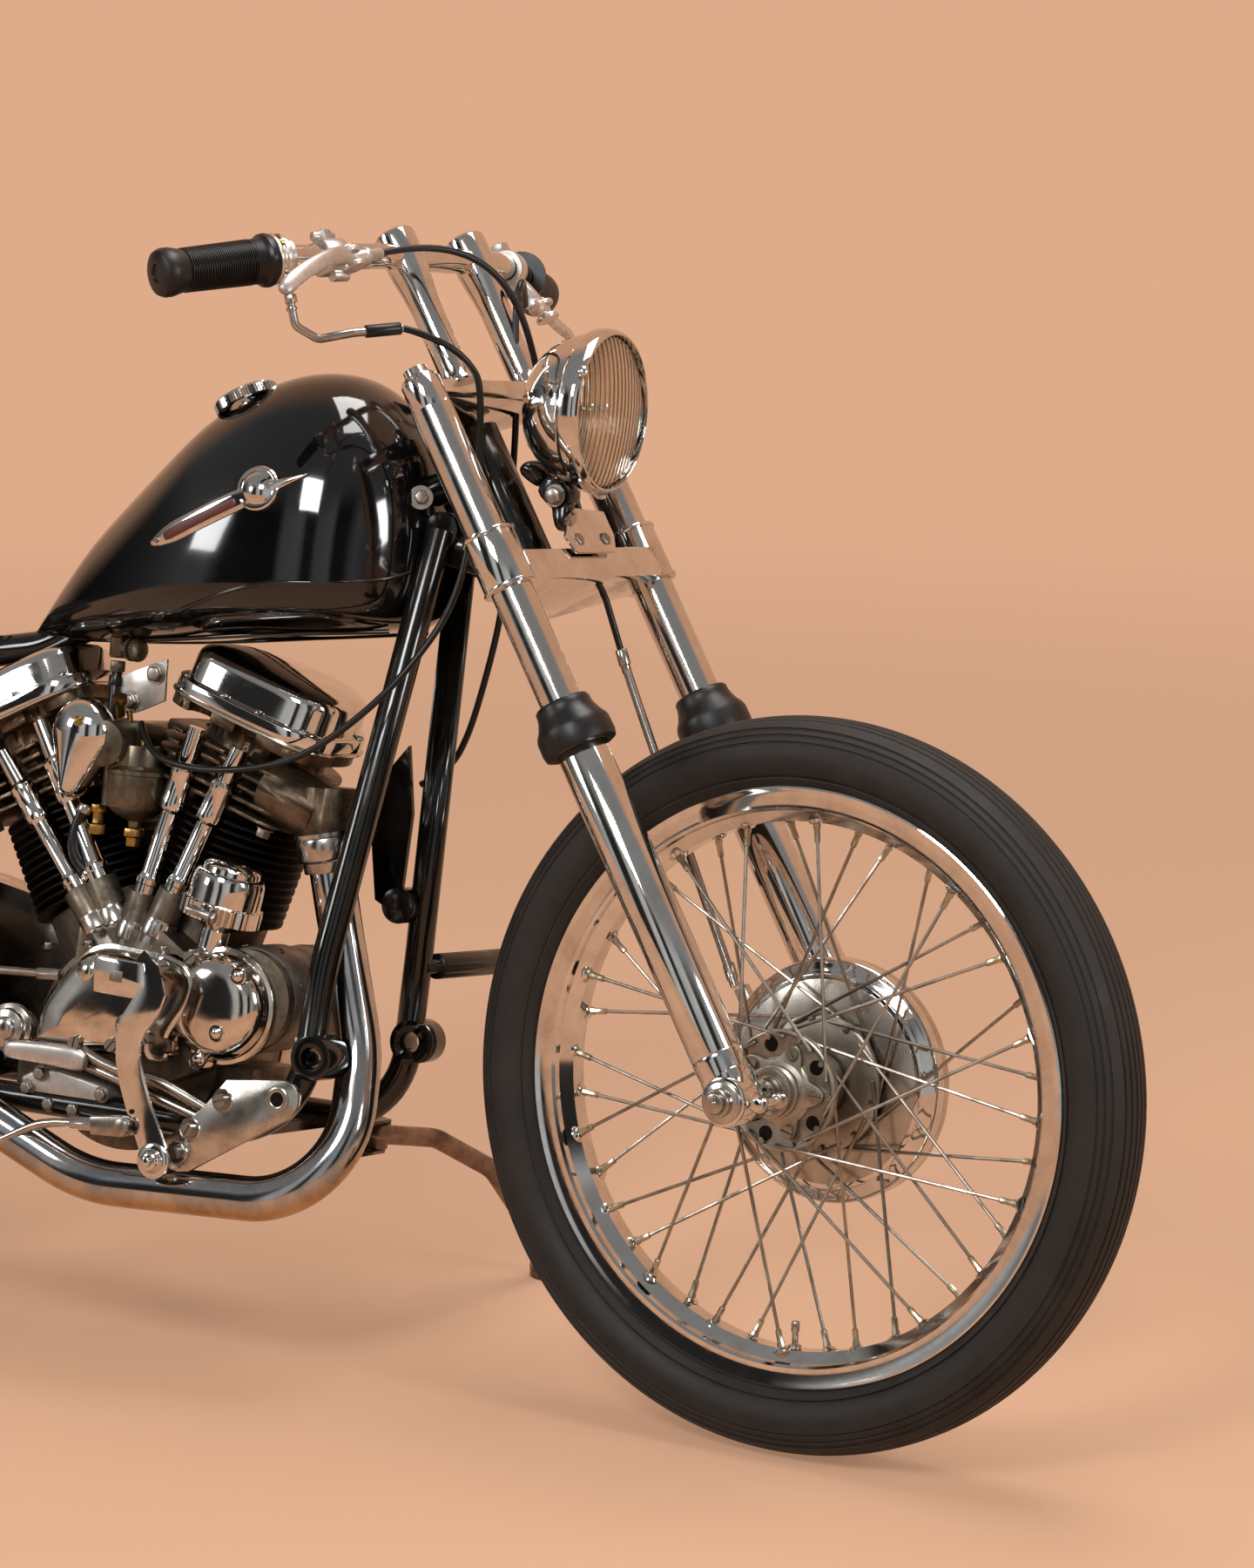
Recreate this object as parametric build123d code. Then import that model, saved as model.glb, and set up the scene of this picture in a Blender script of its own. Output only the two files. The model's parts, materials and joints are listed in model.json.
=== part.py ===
from build123d import *
import math
import os

# Chopper motorcycle with a 45-degree vee twin, a rigid rear and a 21-inch spoked front wheel.
# All lengths are millimetres. The machine is laid out upright, X forward from the rear axle,
# Y to its left and Z up from the ground. At the end the fork is turned, the whole machine is
# leaned on its side stand, and the origin goes to the middle of the underside of its box.

# ---------------------------------------------------------------- driving dimensions
lean = 11.0               # degrees to the left, on the side stand
steer = -5.7              # degrees, negative is to the right
rake = 31.9               # steering axis from the vertical
wheel_base = 1500.0
play = 0.05               # radial running clearance of axles and stem
seat_gap = 0.2            # clearance of pieces that sit in each other

tyre_lip = 8.0
front_tyre_radius, front_tyre_width, front_crown_half, front_crown_drop = 351.0, 86.0, 27.0, 6.0
front_bead_radius, front_rim_width = 266.7, 47.0
rear_tyre_radius, rear_tyre_width, rear_crown_half, rear_crown_drop = 336.0, 130.0, 48.0, 13.0
rear_bead_radius, rear_rim_width = 203.2, 76.0
rim_flange, rim_wall, rim_drop = 18.0, 4.0, 11.0
axle_radius = 9.5
spoke_radius = 2.0
spokes_a_side = 20

leg_spacing = 256.0
leg_offset = 45.1         # fork legs ahead of the steering axis
fork_tube_radius = 20.5
slider_radius = 25.0
boot_radius = 36.5
stem_radius = 12.7
neck_radius = 27.0
# heights along the fork, from the axle
slider_top, boot_low, boot_top = 368.0, 362.0, 410.0
lower_tree_low, lower_web_top, lower_tree_high = 529.0, 560.0, 588.0
top_tree_low, top_tree_high = 722.0, 751.0
cap_height = 14.0

riser_spacing, riser_shift, riser_top, riser_radius = 124.0, 1.0, 889.0, 15.0
bar_radius = 12.7
grip_radius = 21.0
lens_radius, lamp_rim_radius, lamp_depth = 74.0, 79.5, 84.0
lamp_forward, lamp_up = -260.3, 620.2      # lens centre from the front axle

frame_tube = 14.3         # radius of the frame tubes
spine_tube = 16.0
rail_height, rail_half_gap, rear_half_gap = 246.0, 105.0, 110.0
right_lug_at, left_lug_at = (1029.0, 327.0), (1025.0, 332.0)     # (x, z)
lug_radius, lug_bore, lug_in, lug_out = 22.0, 11.0, 84.0, 121.0

crank_x, crank_z = 785.0, 308.0
vee_half, vee_back = 22.5, 5.0
crankcase_radius, crankcase_half = 106.0, 60.0
deck_height, head_height, cover_base = 150.0, 262.0, 352.0
cylinder_core, fin_radius, fin_thickness, fin_pitch = 52.0, 76.0, 2.6, 8.6
cover_length, cover_half, cover_height = 186.0, 85.0, 46.0
chest_depth, cam_cover_depth = 38.0, 40.0
gearbox_x, gearbox_z = 455.0, 335.0
pipe_radius = 22.2
muffler_radius = 38.0
primary_inner, primary_depth = 126.0, 50.0
chain_y, chain_width, chain_band = 86.0, 14.0, 12.0
rear_sprocket, front_sprocket = 123.0, 54.0

os.makedirs("parts", exist_ok=True)


# ---------------------------------------------------------------- helpers
def rod(start, end, radius):
    start, end = Vector(*start), Vector(*end)
    solid = Cylinder(radius, (end - start).length, align=(Align.CENTER, Align.CENTER, Align.MIN))
    return Plane(start, z_dir=end - start) * solid


def pipe(points, radii, radius):
    path = FilletPolyline(*points, radius=radii)
    return sweep(Plane(path @ 0, z_dir=path % 0) * Circle(radius), path=path)


def turned(points):
    """A turned piece about Z from (radius, height) points."""
    return revolve(Plane.XZ * make_face(Polyline(*points, close=True)), Axis.Z)


def slab(points, y_from, y_to):
    """A flat piece from an (x, z) outline, between two values of Y."""
    low, high = min(y_from, y_to), max(y_from, y_to)
    face = Plane.XZ * make_face(Polyline(*points, close=True))
    return Pos(0, high, 0) * extrude(face, high - low, dir=(0, -1, 0))


def disc(x, z, radius, y_from, y_to):
    return rod((x, min(y_from, y_to), z), (x, max(y_from, y_to), z), radius)


def belt(circles, y_from, y_to):
    """The outline round two circles (x, z, radius), between two values of Y."""
    (x1, z1, r1), (x2, z2, r2) = circles
    span = math.hypot(x2 - x1, z2 - z1)
    along = math.atan2(z2 - z1, x2 - x1)
    open_angle = math.acos((r1 - r2) / span)
    points = []
    for turn in (open_angle, -open_angle):
        way = along + turn
        pair = [(x1 + r1 * math.cos(way), z1 + r1 * math.sin(way)),
                (x2 + r2 * math.cos(way), z2 + r2 * math.sin(way))]
        points += pair if turn > 0 else pair[::-1]
    body = slab(points, y_from, y_to)
    for x, z, radius in circles:
        body += disc(x, z, radius, y_from, y_to)
    return body


def mirrored(solid):
    return mirror(solid, Plane.XZ)


def pair(solid):
    return Compound(children=[*solid.solids(), *mirrored(solid).solids()])


def less(solid, *others):
    for other in others:
        solid = solid - other
    return solid


# ---------------------------------------------------------------- wheels
def crown(radius, half, drop):
    """Centre and radius of the crown arc of a tyre."""
    arc = (half ** 2 + drop ** 2) / (2 * drop)
    return radius - arc, arc


front_crown_centre, front_crown_arc = crown(front_tyre_radius, front_crown_half, front_crown_drop)
rear_crown_centre, rear_crown_arc = crown(rear_tyre_radius, rear_crown_half, rear_crown_drop)

lean_r, steer_r, rake_r = math.radians(lean), math.radians(steer), math.radians(rake)
fork_up = Vector(-math.sin(rake_r), 0, math.cos(rake_r))
fork_out = Vector(math.cos(rake_r), 0, math.sin(rake_r))
# the turned and leaned wheel just touches the ground
axle_tilt = (-math.cos(steer_r) * math.sin(lean_r)
             - math.sin(steer_r) * fork_out.Z * math.cos(lean_r))
front_axle_z = ((front_crown_centre * math.sqrt(1 - axle_tilt ** 2) + front_crown_arc
                 + leg_offset * math.sin(steer_r) * math.sin(lean_r)) / math.cos(lean_r)
                + leg_offset * fork_out.Z * (1 - math.cos(steer_r)))
rear_axle_z = rear_crown_centre + rear_crown_arc / math.cos(lean_r)

front_axle_at = Vector(wheel_base, 0, front_axle_z)
steering_at = front_axle_at - fork_out * leg_offset
steering_axis = Axis(steering_at, fork_up)
fork_place = Plane(front_axle_at, x_dir=fork_out, z_dir=fork_up).location


def tyre(radius, width, half, drop, bead, rim_width):
    inner = rim_width / 2 - seat_gap
    widest = bead + rim_flange + (radius - bead - rim_flange) * 0.42
    right = ThreePointArc((inner, bead + rim_flange), (width / 2, widest), (half, radius - drop))
    top = ThreePointArc((half, radius - drop), (0, radius), (-half, radius - drop))
    left = ThreePointArc((-half, radius - drop), (-width / 2, widest), (-inner, bead + rim_flange))
    base = Polyline((-inner, bead + rim_flange), (-inner, bead + seat_gap),
                    (inner, bead + seat_gap), (inner, bead + rim_flange))
    face = make_face(Curve() + [right, top, left, base])
    return revolve(Plane.YZ * face, Axis.Y)


def rim(bead, rim_width):
    half = rim_width / 2
    outer = [(half + rim_wall, bead + rim_flange), (half, bead + rim_flange), (half, bead),
             (half - tyre_lip, bead), (half - 2 * tyre_lip, bead - rim_drop)]
    inner = [(half + rim_wall, bead - rim_wall), (half - 2 * tyre_lip, bead - rim_drop - rim_wall)]
    points = outer + [(-y, r) for y, r in outer[::-1]]
    points += [(-y, r) for y, r in inner] + inner[::-1]
    return revolve(Plane.YZ * make_face(Polyline(*points, close=True)), Axis.Y)


def spokes(rim_inner, rim_offset, sides):
    """Laced spokes. A side has (sign, Y of its two rows at the hub, flange radius, lead angle).
    The rows lead and trail in turn, and the nipples are evenly spaced round the rim."""
    laced = []
    pitch = 360 / spokes_a_side
    for sign, face_even, face_odd, ring, lead in sides:
        for index in range(spokes_a_side):
            odd = index % 2
            hub_angle = math.radians(index * pitch + (pitch / 2 if sign > 0 else 0))
            rim_angle = hub_angle + (1 if odd else -1) * math.radians(lead)
            y_hub = face_odd if odd else face_even
            outer_row = y_hub == max(face_odd, face_even)
            y_rim = rim_offset + (row_shift if outer_row else -row_shift)
            start = (ring * math.cos(hub_angle), sign * y_hub, ring * math.sin(hub_angle))
            end = (rim_inner * math.cos(rim_angle), sign * y_rim, rim_inner * math.sin(rim_angle))
            laced.append(rod(start, end, spoke_radius).solid())
    return Compound(children=laced)


front_rim_inner = front_bead_radius - rim_drop - rim_wall - 0.7
rear_rim_inner = rear_bead_radius - rim_drop - rim_wall - 1.3
flange_half, flange_rim = 3.0, 1.5
spoke_stand = flange_half + spoke_radius + 0.3
row_shift = 2.5           # of a row's nipples from the middle of its side's nipples
wide_lead, close_lead = 72, 54       # degrees round the rim, whole pitches so that nipples are even

# (distance of the flange's middle from the wheel's middle, radius of the spoke circle)
front_right_flange, front_right_ring = 41.0, 52.0
front_left_flange, front_left_ring = 27.0, 62.0
front_drum_radius, front_drum_face, front_drum_out = 118.0, 40.0, 60.0
rear_right_flange, rear_right_ring = 48.0, 52.0
rear_left_flange, rear_left_ring = 50.0, 96.0
rear_drum_radius, rear_drum_face, rear_drum_out = 104.0, 47.0, 82.0
hub_barrel = 33.0


def hub(right_y, right_ring, left_y, left_ring, drum, drum_face, drum_out, ends):
    """Turned hub: a spoke flange on each side, brake drum on the left; heights are along Y."""
    bore = axle_radius + play
    points = [(bore, -ends), (24, -ends), (24, -right_y - 12), (hub_barrel, -right_y - 8),
              (hub_barrel, -right_y - flange_half), (right_ring + flange_rim, -right_y - flange_half),
              (right_ring + flange_rim, -right_y + flange_half), (hub_barrel, -right_y + flange_half),
              (hub_barrel, left_y - flange_half), (left_ring + flange_rim, left_y - flange_half),
              (left_ring + flange_rim, min(left_y + flange_half, drum_face)),
              (hub_barrel, min(left_y + flange_half, drum_face)), (hub_barrel, drum_face), (drum, drum_face),
              (drum, drum_out), (drum - 8, drum_out), (drum - 8, drum_face + 6),
              (hub_barrel, drum_face + 6), (hub_barrel, drum_out - 12), (bore, drum_out - 12)]
    points = [point for before, point in zip([None] + points, points) if point != before]
    return Rot(-90, 0, 0) * turned(points)


def at_front(solid):
    return Pos(*front_axle_at) * solid


def at_rear(solid):
    return Pos(0, 0, rear_axle_z) * solid


front_hub_end = 70.0
front_tyre_solid = at_front(tyre(front_tyre_radius, front_tyre_width, front_crown_half,
                                 front_crown_drop, front_bead_radius, front_rim_width))
front_rim_solid = at_front(rim(front_bead_radius, front_rim_width))
front_hub_solid = at_front(hub(front_right_flange, front_right_ring, front_left_flange, front_left_ring,
                               front_drum_radius, front_drum_face, front_drum_out, front_hub_end))
front_spokes = at_front(spokes(front_rim_inner, 7, [
    (-1, front_right_flange - spoke_stand, front_right_flange + spoke_stand + 2.0, front_right_ring, wide_lead),
    (1, front_left_flange - spoke_stand, front_left_flange + spoke_stand + 2.0, front_left_ring, wide_lead)]))

rear_hub_end = 76.0
sprocket_solid = disc(0, 0, rear_sprocket, rear_drum_out, chain_y + 4) - disc(0, 0, 70, 0, 200)
rear_tyre_solid = at_rear(tyre(rear_tyre_radius, rear_tyre_width, rear_crown_half,
                               rear_crown_drop, rear_bead_radius, rear_rim_width))
rear_rim_solid = at_rear(rim(rear_bead_radius, rear_rim_width))
rear_hub_solid = at_rear(hub(rear_right_flange, rear_right_ring, rear_left_flange, rear_drum_radius - flange_rim,
                             rear_drum_radius, rear_drum_face, rear_drum_out, rear_hub_end) + sprocket_solid)
rear_spokes = at_rear(spokes(rear_rim_inner, 10, [
    (-1, rear_right_flange - spoke_stand, rear_right_flange + spoke_stand + 3.0, rear_right_ring, wide_lead),
    (1, rear_left_flange - spoke_stand, rear_left_flange - spoke_stand - 5.0, rear_left_ring, close_lead)]))

# ---------------------------------------------------------------- fork, in its own frame:
# X away from the steering axis, Y left, Z up along the legs from the axle
leg_y = leg_spacing / 2
stem_x = -leg_offset
axle_end = leg_y + 43.0
lug_half_fork, lug_ring = 25.0, 23.0

slider = (Cylinder(slider_radius, slider_top - 30, align=(Align.CENTER, Align.CENTER, Align.MIN)))
slider = Pos(0, leg_y, 30) * slider
slider += Pos(0, leg_y, 0) * Cylinder(slider_radius - 1, 34, align=(Align.CENTER, Align.CENTER, Align.MIN))
slider += rod((0, leg_y - lug_half_fork, 0), (0, leg_y + lug_half_fork, 0), lug_ring)
slider -= rod((0, leg_y, 90), (0, leg_y, slider_top + 1), fork_tube_radius + seat_gap)
slider -= rod((0, 0, 0), (0, 2 * leg_y, 0), axle_radius + seat_gap)
fork_sliders = pair(slider)
neck_in = 13.0            # the tube's tapered end in the top tree
fork_tube = rod((0, leg_y, 100), (0, leg_y, top_tree_low), fork_tube_radius)
fork_tube += rod((0, leg_y, top_tree_low), (0, leg_y, top_tree_high), neck_in)
fork_tubes = pair(fork_tube)
boot_in = fork_tube_radius + seat_gap
boot = Pos(0, leg_y, 0) * turned([
    (slider_radius + seat_gap, boot_low), (boot_radius - 1, boot_low), (boot_radius, boot_low + 16),
    (boot_radius - 3, boot_low + 23), (23, boot_top), (boot_in, boot_top),
    (boot_in, slider_top + seat_gap), (slider_radius + seat_gap, slider_top + seat_gap)])
fork_boots = pair(boot)


def tree(low, high, collar, bore, web_low, web_high, front):
    outline = [(front, -leg_y + 10), (front, leg_y - 10), (-20, leg_y - 10), (stem_x - 26, 30),
               (stem_x - 26, -30), (-20, -leg_y + 10)]
    web = Pos(0, 0, web_low) * extrude(make_face(Polyline(*outline, close=True)), web_high - web_low)
    solid = web + rod((stem_x, 0, web_low), (stem_x, 0, web_high), neck_radius + 7)
    for side in (-1, 1):
        solid += rod((0, side * leg_y, low), (0, side * leg_y, high), collar)
    for side in (-1, 1):
        solid -= rod((0, side * leg_y, low - 1), (0, side * leg_y, high + 1), bore)
    return solid


stem_top = top_tree_high + 14
lower_tree = tree(lower_tree_low, lower_tree_high, 25.5, boot_in, lower_tree_low, lower_web_top, 24.0)
lower_tree += rod((stem_x, 0, lower_tree_low + 10), (stem_x, 0, stem_top), stem_radius)
top_tree = tree(top_tree_low, top_tree_high, 19.5, neck_in + seat_gap, top_tree_low + 6, top_tree_high - 3, 14.0)
top_tree -= rod((stem_x, 0, top_tree_low - 1), (stem_x, 0, stem_top), stem_radius + seat_gap)
cap = Pos(0, leg_y, top_tree_high) * turned([(0, 0), (19, 0), (17, 5), (12, 7), (12, cap_height), (0, cap_height)])
stem_nut = rod((stem_x, 0, top_tree_high), (stem_x, 0, top_tree_high + 12), 21.0)
stem_nut -= rod((stem_x, 0, 0), (stem_x, 0, 2 * stem_top), stem_radius + seat_gap)
top_tree += cap + mirrored(cap) + stem_nut

riser_y = riser_spacing / 2
riser = Pos(riser_shift, riser_y, 0) * turned([
    (0, top_tree_high - 3), (21, top_tree_high - 3), (riser_radius, top_tree_high + 10),
    (riser_radius, riser_top - 52), (19, riser_top - 40), (19, riser_top - 34),
    (16.5, riser_top - 30), (19, riser_top - 6), (19, riser_top + 20), (15, riser_top + 26),
    (0, riser_top + 26)])
bar_route = [(riser_shift, 0, riser_top), (riser_shift, -98, riser_top),
             (-36, -205, riser_top + 14), (-92, -327, riser_top + 24)]
half_bar = pipe(bar_route, [60, 60], bar_radius)
riser = riser - rod((riser_shift, 0, riser_top), (riser_shift, 98, riser_top), bar_radius + seat_gap)
risers = pair(riser)
handlebar = half_bar + mirrored(half_bar)
grip_in, grip_out = Vector(*bar_route[2]), Vector(*bar_route[3])
grip_way = (grip_out - grip_in).normalized()
grip_start, grip_end = grip_in + grip_way * 22, grip_out + grip_way * 6
grip = rod(grip_start, grip_end, grip_radius) - half_bar
grip = grip - rod(grip_start - grip_way, grip_out, bar_radius + seat_gap)
grips = pair(mirrored(grip))
perch_at = Vector(-19, -157, 896)
perch_way = (Vector(*bar_route[2]) - Vector(*bar_route[1])).normalized()
bar_room = pipe(bar_route, [60, 60], bar_radius + seat_gap)
clamp = rod(perch_at - perch_way * 13, perch_at + perch_way * 13, 18.0)
levers = [  # clamp and room for the bar, pivot, middle and tip of the blade
    (clamp, bar_room, Vector(30, -205, 865), Vector(50, -262, 858), Vector(28, -336, 831)),
    (mirrored(clamp), mirrored(bar_room), Vector(-8, 172, 842), Vector(-30, 232, 840), Vector(-62, 300, 846)),
]
perches = []
for clamp, room, pivot, middle, tip in levers:
    perch = clamp + rod(clamp.center(), pivot, 8.0)
    perch += rod(pivot + Vector(0, 0, 9), pivot - Vector(0, 0, 9), 9.0)
    perch += pipe([pivot, middle, tip], [60], 5.5)
    perches.append(less(perch, room).solid())
cable_start = levers[0][2] + Vector(8, 36, 3)
perches[0] += rod(levers[0][2], cable_start, 7.0)
hand_levers = Compound(children=perches)

front_axle = rod((0, -axle_end, 0), (0, axle_end, 0), axle_radius)
front_axle += rod((0, leg_y + lug_half_fork, 0), (0, leg_y + lug_half_fork + 12, 0), 17.0)
front_axle += rod((0, -leg_y - lug_half_fork - 4, 0), (0, -leg_y - lug_half_fork, 0), 17.0)
spacer = rod((0, -leg_y + lug_half_fork, 0), (0, -front_hub_end - 0.3, 0), 15.0)
front_axle += spacer
plate_in, plate_out = front_drum_out + 1.5, front_drum_out + 12
front_brake_plate = rod((0, plate_in, 0), (0, plate_out, 0), front_drum_radius - 1)
front_brake_plate += rod((0, plate_out, 0), (0, leg_y - lug_half_fork, 0), 26.0)
front_brake_plate += rod((0, plate_out, 0), (0, plate_out + 7, 0), 84.0)
front_brake_plate -= rod((0, 0, 0), (0, 2 * leg_y, 0), axle_radius + seat_gap)
front_brake_plate += Pos(-62, plate_out + 4, 88) * Box(14, 8, 74)
front_brake_plate += rod((-62, plate_out, 58), (-62, plate_out + 11, 58), 11.0)

lens_centre = Vector(lamp_forward, 0, lamp_up)
lamp_at = Pos(*(front_axle_at + lens_centre)) * Rot(0, 90, 0)
bucket = turned([(0, -lamp_depth), (26, -lamp_depth + 3), (52, -lamp_depth + 16),
                 (68, -lamp_depth + 38), (74, -30), (74, -20), (lamp_rim_radius, -18),
                 (lamp_rim_radius, -4), (lens_radius + 2, 2), (lens_radius, 2), (lens_radius, -14),
                 (0, -14)])
lens = turned([(0, -13.8), (lens_radius - seat_gap, -13.8), (lens_radius - seat_gap, -1),
               (lens_radius * 0.6, 7), (0, 10)])
headlamp_shell = lamp_at * bucket
headlamp_lens = lamp_at * lens
bracket_foot = Vector(16, -6, lower_web_top + 14)
bracket_base = (fork_place * Pos(*bracket_foot)).position
lamp_belly = front_axle_at + lens_centre + Vector(-42, 0, -60)
headlamp_bracket = rod(bracket_base, lamp_belly, 10.0)
headlamp_bracket += fork_place * Pos(24 + seat_gap + 2, 0, lower_web_top + 2) * Box(4, 84, 44)
headlamp_shell += less(headlamp_bracket, lamp_at * Cylinder(lens_radius + 2, 60), fork_place * lower_tree)

# ---------------------------------------------------------------- frame
neck_low, neck_high = lower_web_top + 2, top_tree_low - 2


def on_neck(height, out=0.0, y=0.0):
    return steering_at + fork_up * height + fork_out * out + Vector(0, y, 0)


neck_tube = rod(on_neck(neck_low), on_neck(neck_high), neck_radius)
neck_bore = rod(on_neck(neck_low - 5), on_neck(neck_high + 5), stem_radius + play)
spine_front = on_neck(neck_high - 40)
spine_rise, spine_dip, spine_rear = Vector(690, 0, 732), Vector(610, 0, 692), Vector(500, 0, 672)
spine = pipe([spine_front, spine_rise, spine_dip, spine_rear], [90, 90], spine_tube)
post_foot = Vector(588, 0, 262)
post = rod(spine_rear, post_foot, frame_tube)
downtube_top = (1070, 26, 846)
gusset = rod(on_neck(neck_low + 22, -20), (1040, 0, 838), 20.0)
cross_head = rod((1070, -26, 846), (1070, 26, 846), frame_tube + 4)
frame_spine = less(neck_tube + spine + post + gusset + cross_head, neck_bore)

rail_points = [downtube_top, (1022, 95, 421), (1010, rail_half_gap, rail_height),
               (660, rail_half_gap, rail_height), (420, rear_half_gap, rail_height),
               (20, rear_half_gap, rear_axle_z - 8)]
side = pipe(rail_points, [300, 85, 200, 120], frame_tube)


def frame_side(lug_at):
    x, z = lug_at
    solid = side + disc(x, z, lug_radius, lug_in, lug_out)
    solid += slab([(x - 25, z - 14), (x, z - 16), (x, z + 16), (x - 23, z + 18)],
                  rail_half_gap - 8, rail_half_gap + 8)
    solid += dropout
    return less(solid, disc(x, z, lug_bore, 0, 200), disc(0, rear_axle_z, axle_radius + seat_gap, 0, 200),
                cross_head)


dropout = slab([(-34, rear_axle_z - 24), (40, rear_axle_z - 30), (52, rear_axle_z + 4),
                (30, rear_axle_z + 46), (-20, rear_axle_z + 34)], rear_half_gap - 5, rear_half_gap + 5)
left_side = frame_side(left_lug_at)
right_side = mirrored(frame_side(right_lug_at))

stay = pipe([(512, 12, 656), (440, 106, 612), (16, rear_half_gap, rear_axle_z + 30)], [70], 12.0)
stay = less(stay, dropout, side)
stays = less(stay + mirrored(stay), spine, post)
plates = []
for x_from, x_to, low, high in ((873, 936, 234, 246), (640, 697, 234, 246), (448, 560, 250, 262)):
    plate = Pos((x_from + x_to) / 2, 0, (low + high) / 2) * Box(x_to - x_from, 2 * rail_half_gap, high - low)
    plates.append(plate)
post_shoe = Pos(580, 0, 256) * Box(50, 60, 12)
cross_plates = plates[0] + plates[1] + (plates[2] + post_shoe)
cross_plates = less(cross_plates, side, mirrored(side), post)

# ---------------------------------------------------------------- tank
tunnel_half = spine_tube + 5
tank_low = 722.0
tank_sections = [  # x, floor, top, half width, half width at the floor
    (640, 706, 722, 42, 30),
    (700, 708, 802, 68, 48),
    (790, 714, 898, 112, 74),
    (880, 726, 972, 132, 86),
    (960, 736, 984, 128, 84),
    (1014, 742, 946, 96, 64),
    (1036, 752, 896, 60, 42),
]


def tank_section(x, floor, top, half, floor_half):
    waist = floor + (top - floor) * 0.40
    shoulder = floor + (top - floor) * 0.93
    right = [Line((floor_half, floor), (half, waist)),
             ThreePointArc((half, waist), (half * 0.88, floor + (top - floor) * 0.76), (half * 0.42, shoulder))]
    crest = ThreePointArc((half * 0.42, shoulder), (0, top), (-half * 0.42, shoulder))
    left = [ThreePointArc((-half * 0.42, shoulder), (-half * 0.88, floor + (top - floor) * 0.76), (-half, waist)),
            Line((-half, waist), (-floor_half, floor))]
    base = Line((-floor_half, floor), (floor_half, floor))
    face = make_face(Curve() + [*right, crest, *left, base])
    return Plane(origin=(x, 0, 0), x_dir=(0, 1, 0), z_dir=(1, 0, 0)) * face


tank_body = loft([tank_section(*row) for row in tank_sections], ruled=False)


def spine_z(x):
    return spine_rise.Z + (x - spine_rise.X) * (spine_front.Z - spine_rise.Z) / (spine_front.X - spine_rise.X)


tunnel_rise = spine_tube + 6
tunnel = slab([(600, 600), (1120, 600), (1120, spine_z(1120) + tunnel_rise), (690, spine_z(690) + tunnel_rise),
               (640, 704 + tunnel_rise), (600, 704)], -tunnel_half, tunnel_half)
fuel_tank = tank_body - tunnel
mount_pins = [rod((x, seat_gap - tunnel_half, spine_z(x) + dz),
                  (x, tunnel_half - seat_gap, spine_z(x) + dz), 8)
              for x, dz in ((700, 4), (1000, 0))]
for pin in mount_pins:
    frame_spine = frame_spine + pin

cap_x, cap_y, cap_z, cap_slope = 855.0, 46.0, 952.0, 31.0
cap_solid = turned([(0, -20), (22, -20), (22, 0), (32, 1), (32, 12), (29, 16), (0, 18)])
tank_cap = Pos(cap_x, cap_y, cap_z) * Rot(0, -cap_slope, 0) * cap_solid
tank_caps = pair(tank_cap)
fuel_tank = less(fuel_tank, *tank_caps.solids())
tap = rod((738, -58, 668), (738, -58, 716), 9.0) + rod((738, -58, 694), (762, -72, 694), 6.0)
tap += rod((762, -72, 694), (770, -77, 694), 11.0)
fuel_tap = less(tap, fuel_tank)

# ---------------------------------------------------------------- engine
def along_bank(bank, distance, across=0.0, y=0.0):
    angle = math.radians(bank * vee_half - vee_back)
    return Vector(crank_x + distance * math.sin(angle) + across * math.cos(angle), y,
                  crank_z + distance * math.cos(angle) - across * math.sin(angle))


def bank_place(bank, distance):
    angle = math.radians(bank * vee_half - vee_back)
    return Plane(along_bank(bank, distance), x_dir=(math.cos(angle), 0, -math.sin(angle)),
                 z_dir=(math.sin(angle), 0, math.cos(angle))).location


def vee_wall(bank):
    middle = Plane((crank_x, 0, crank_z), x_dir=(bank * math.cos(math.radians(vee_back)), 0,
                                                 bank * math.sin(math.radians(vee_back))),
                   z_dir=(-math.sin(math.radians(vee_back)), 0, math.cos(math.radians(vee_back))))
    return middle.location * Pos(-150 + 1.5, 0, 250) * Box(300, 400, 600)


banks = (1, -1)
chest_outer = -crankcase_half - chest_depth
crankcase = disc(crank_x, crank_z, crankcase_radius, -crankcase_half, crankcase_half)
for bank in banks:
    crankcase += rod(along_bank(bank, 40), along_bank(bank, deck_height), 64.0)
crankcase += Pos(886, 0, 272) * Box(74, 90, 52)
crankcase += Pos(684, 0, 272) * Box(70, 90, 52)
cam_circle, drive_circle = (802, 332, 69), (937, 372, 50)
chest = belt([cam_circle, drive_circle], -crankcase_half, chest_outer)
chest += slab([(736, 330), (742, 424), (838, 428), (880, 400), (868, 330)], -crankcase_half, chest_outer)
crankcase += chest
crankcase += disc(crank_x, crank_z, 42, crankcase_half, primary_inner)

cam_cover = belt([(802, 332, 65), (937, 372, 45)], chest_outer, chest_outer - 24)
cam_cover += disc(802, 336, 55, chest_outer - 24, chest_outer - cam_cover_depth)
cam_cover += disc(937, 372, 34, chest_outer - 24, chest_outer - cam_cover_depth + 4)

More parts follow.
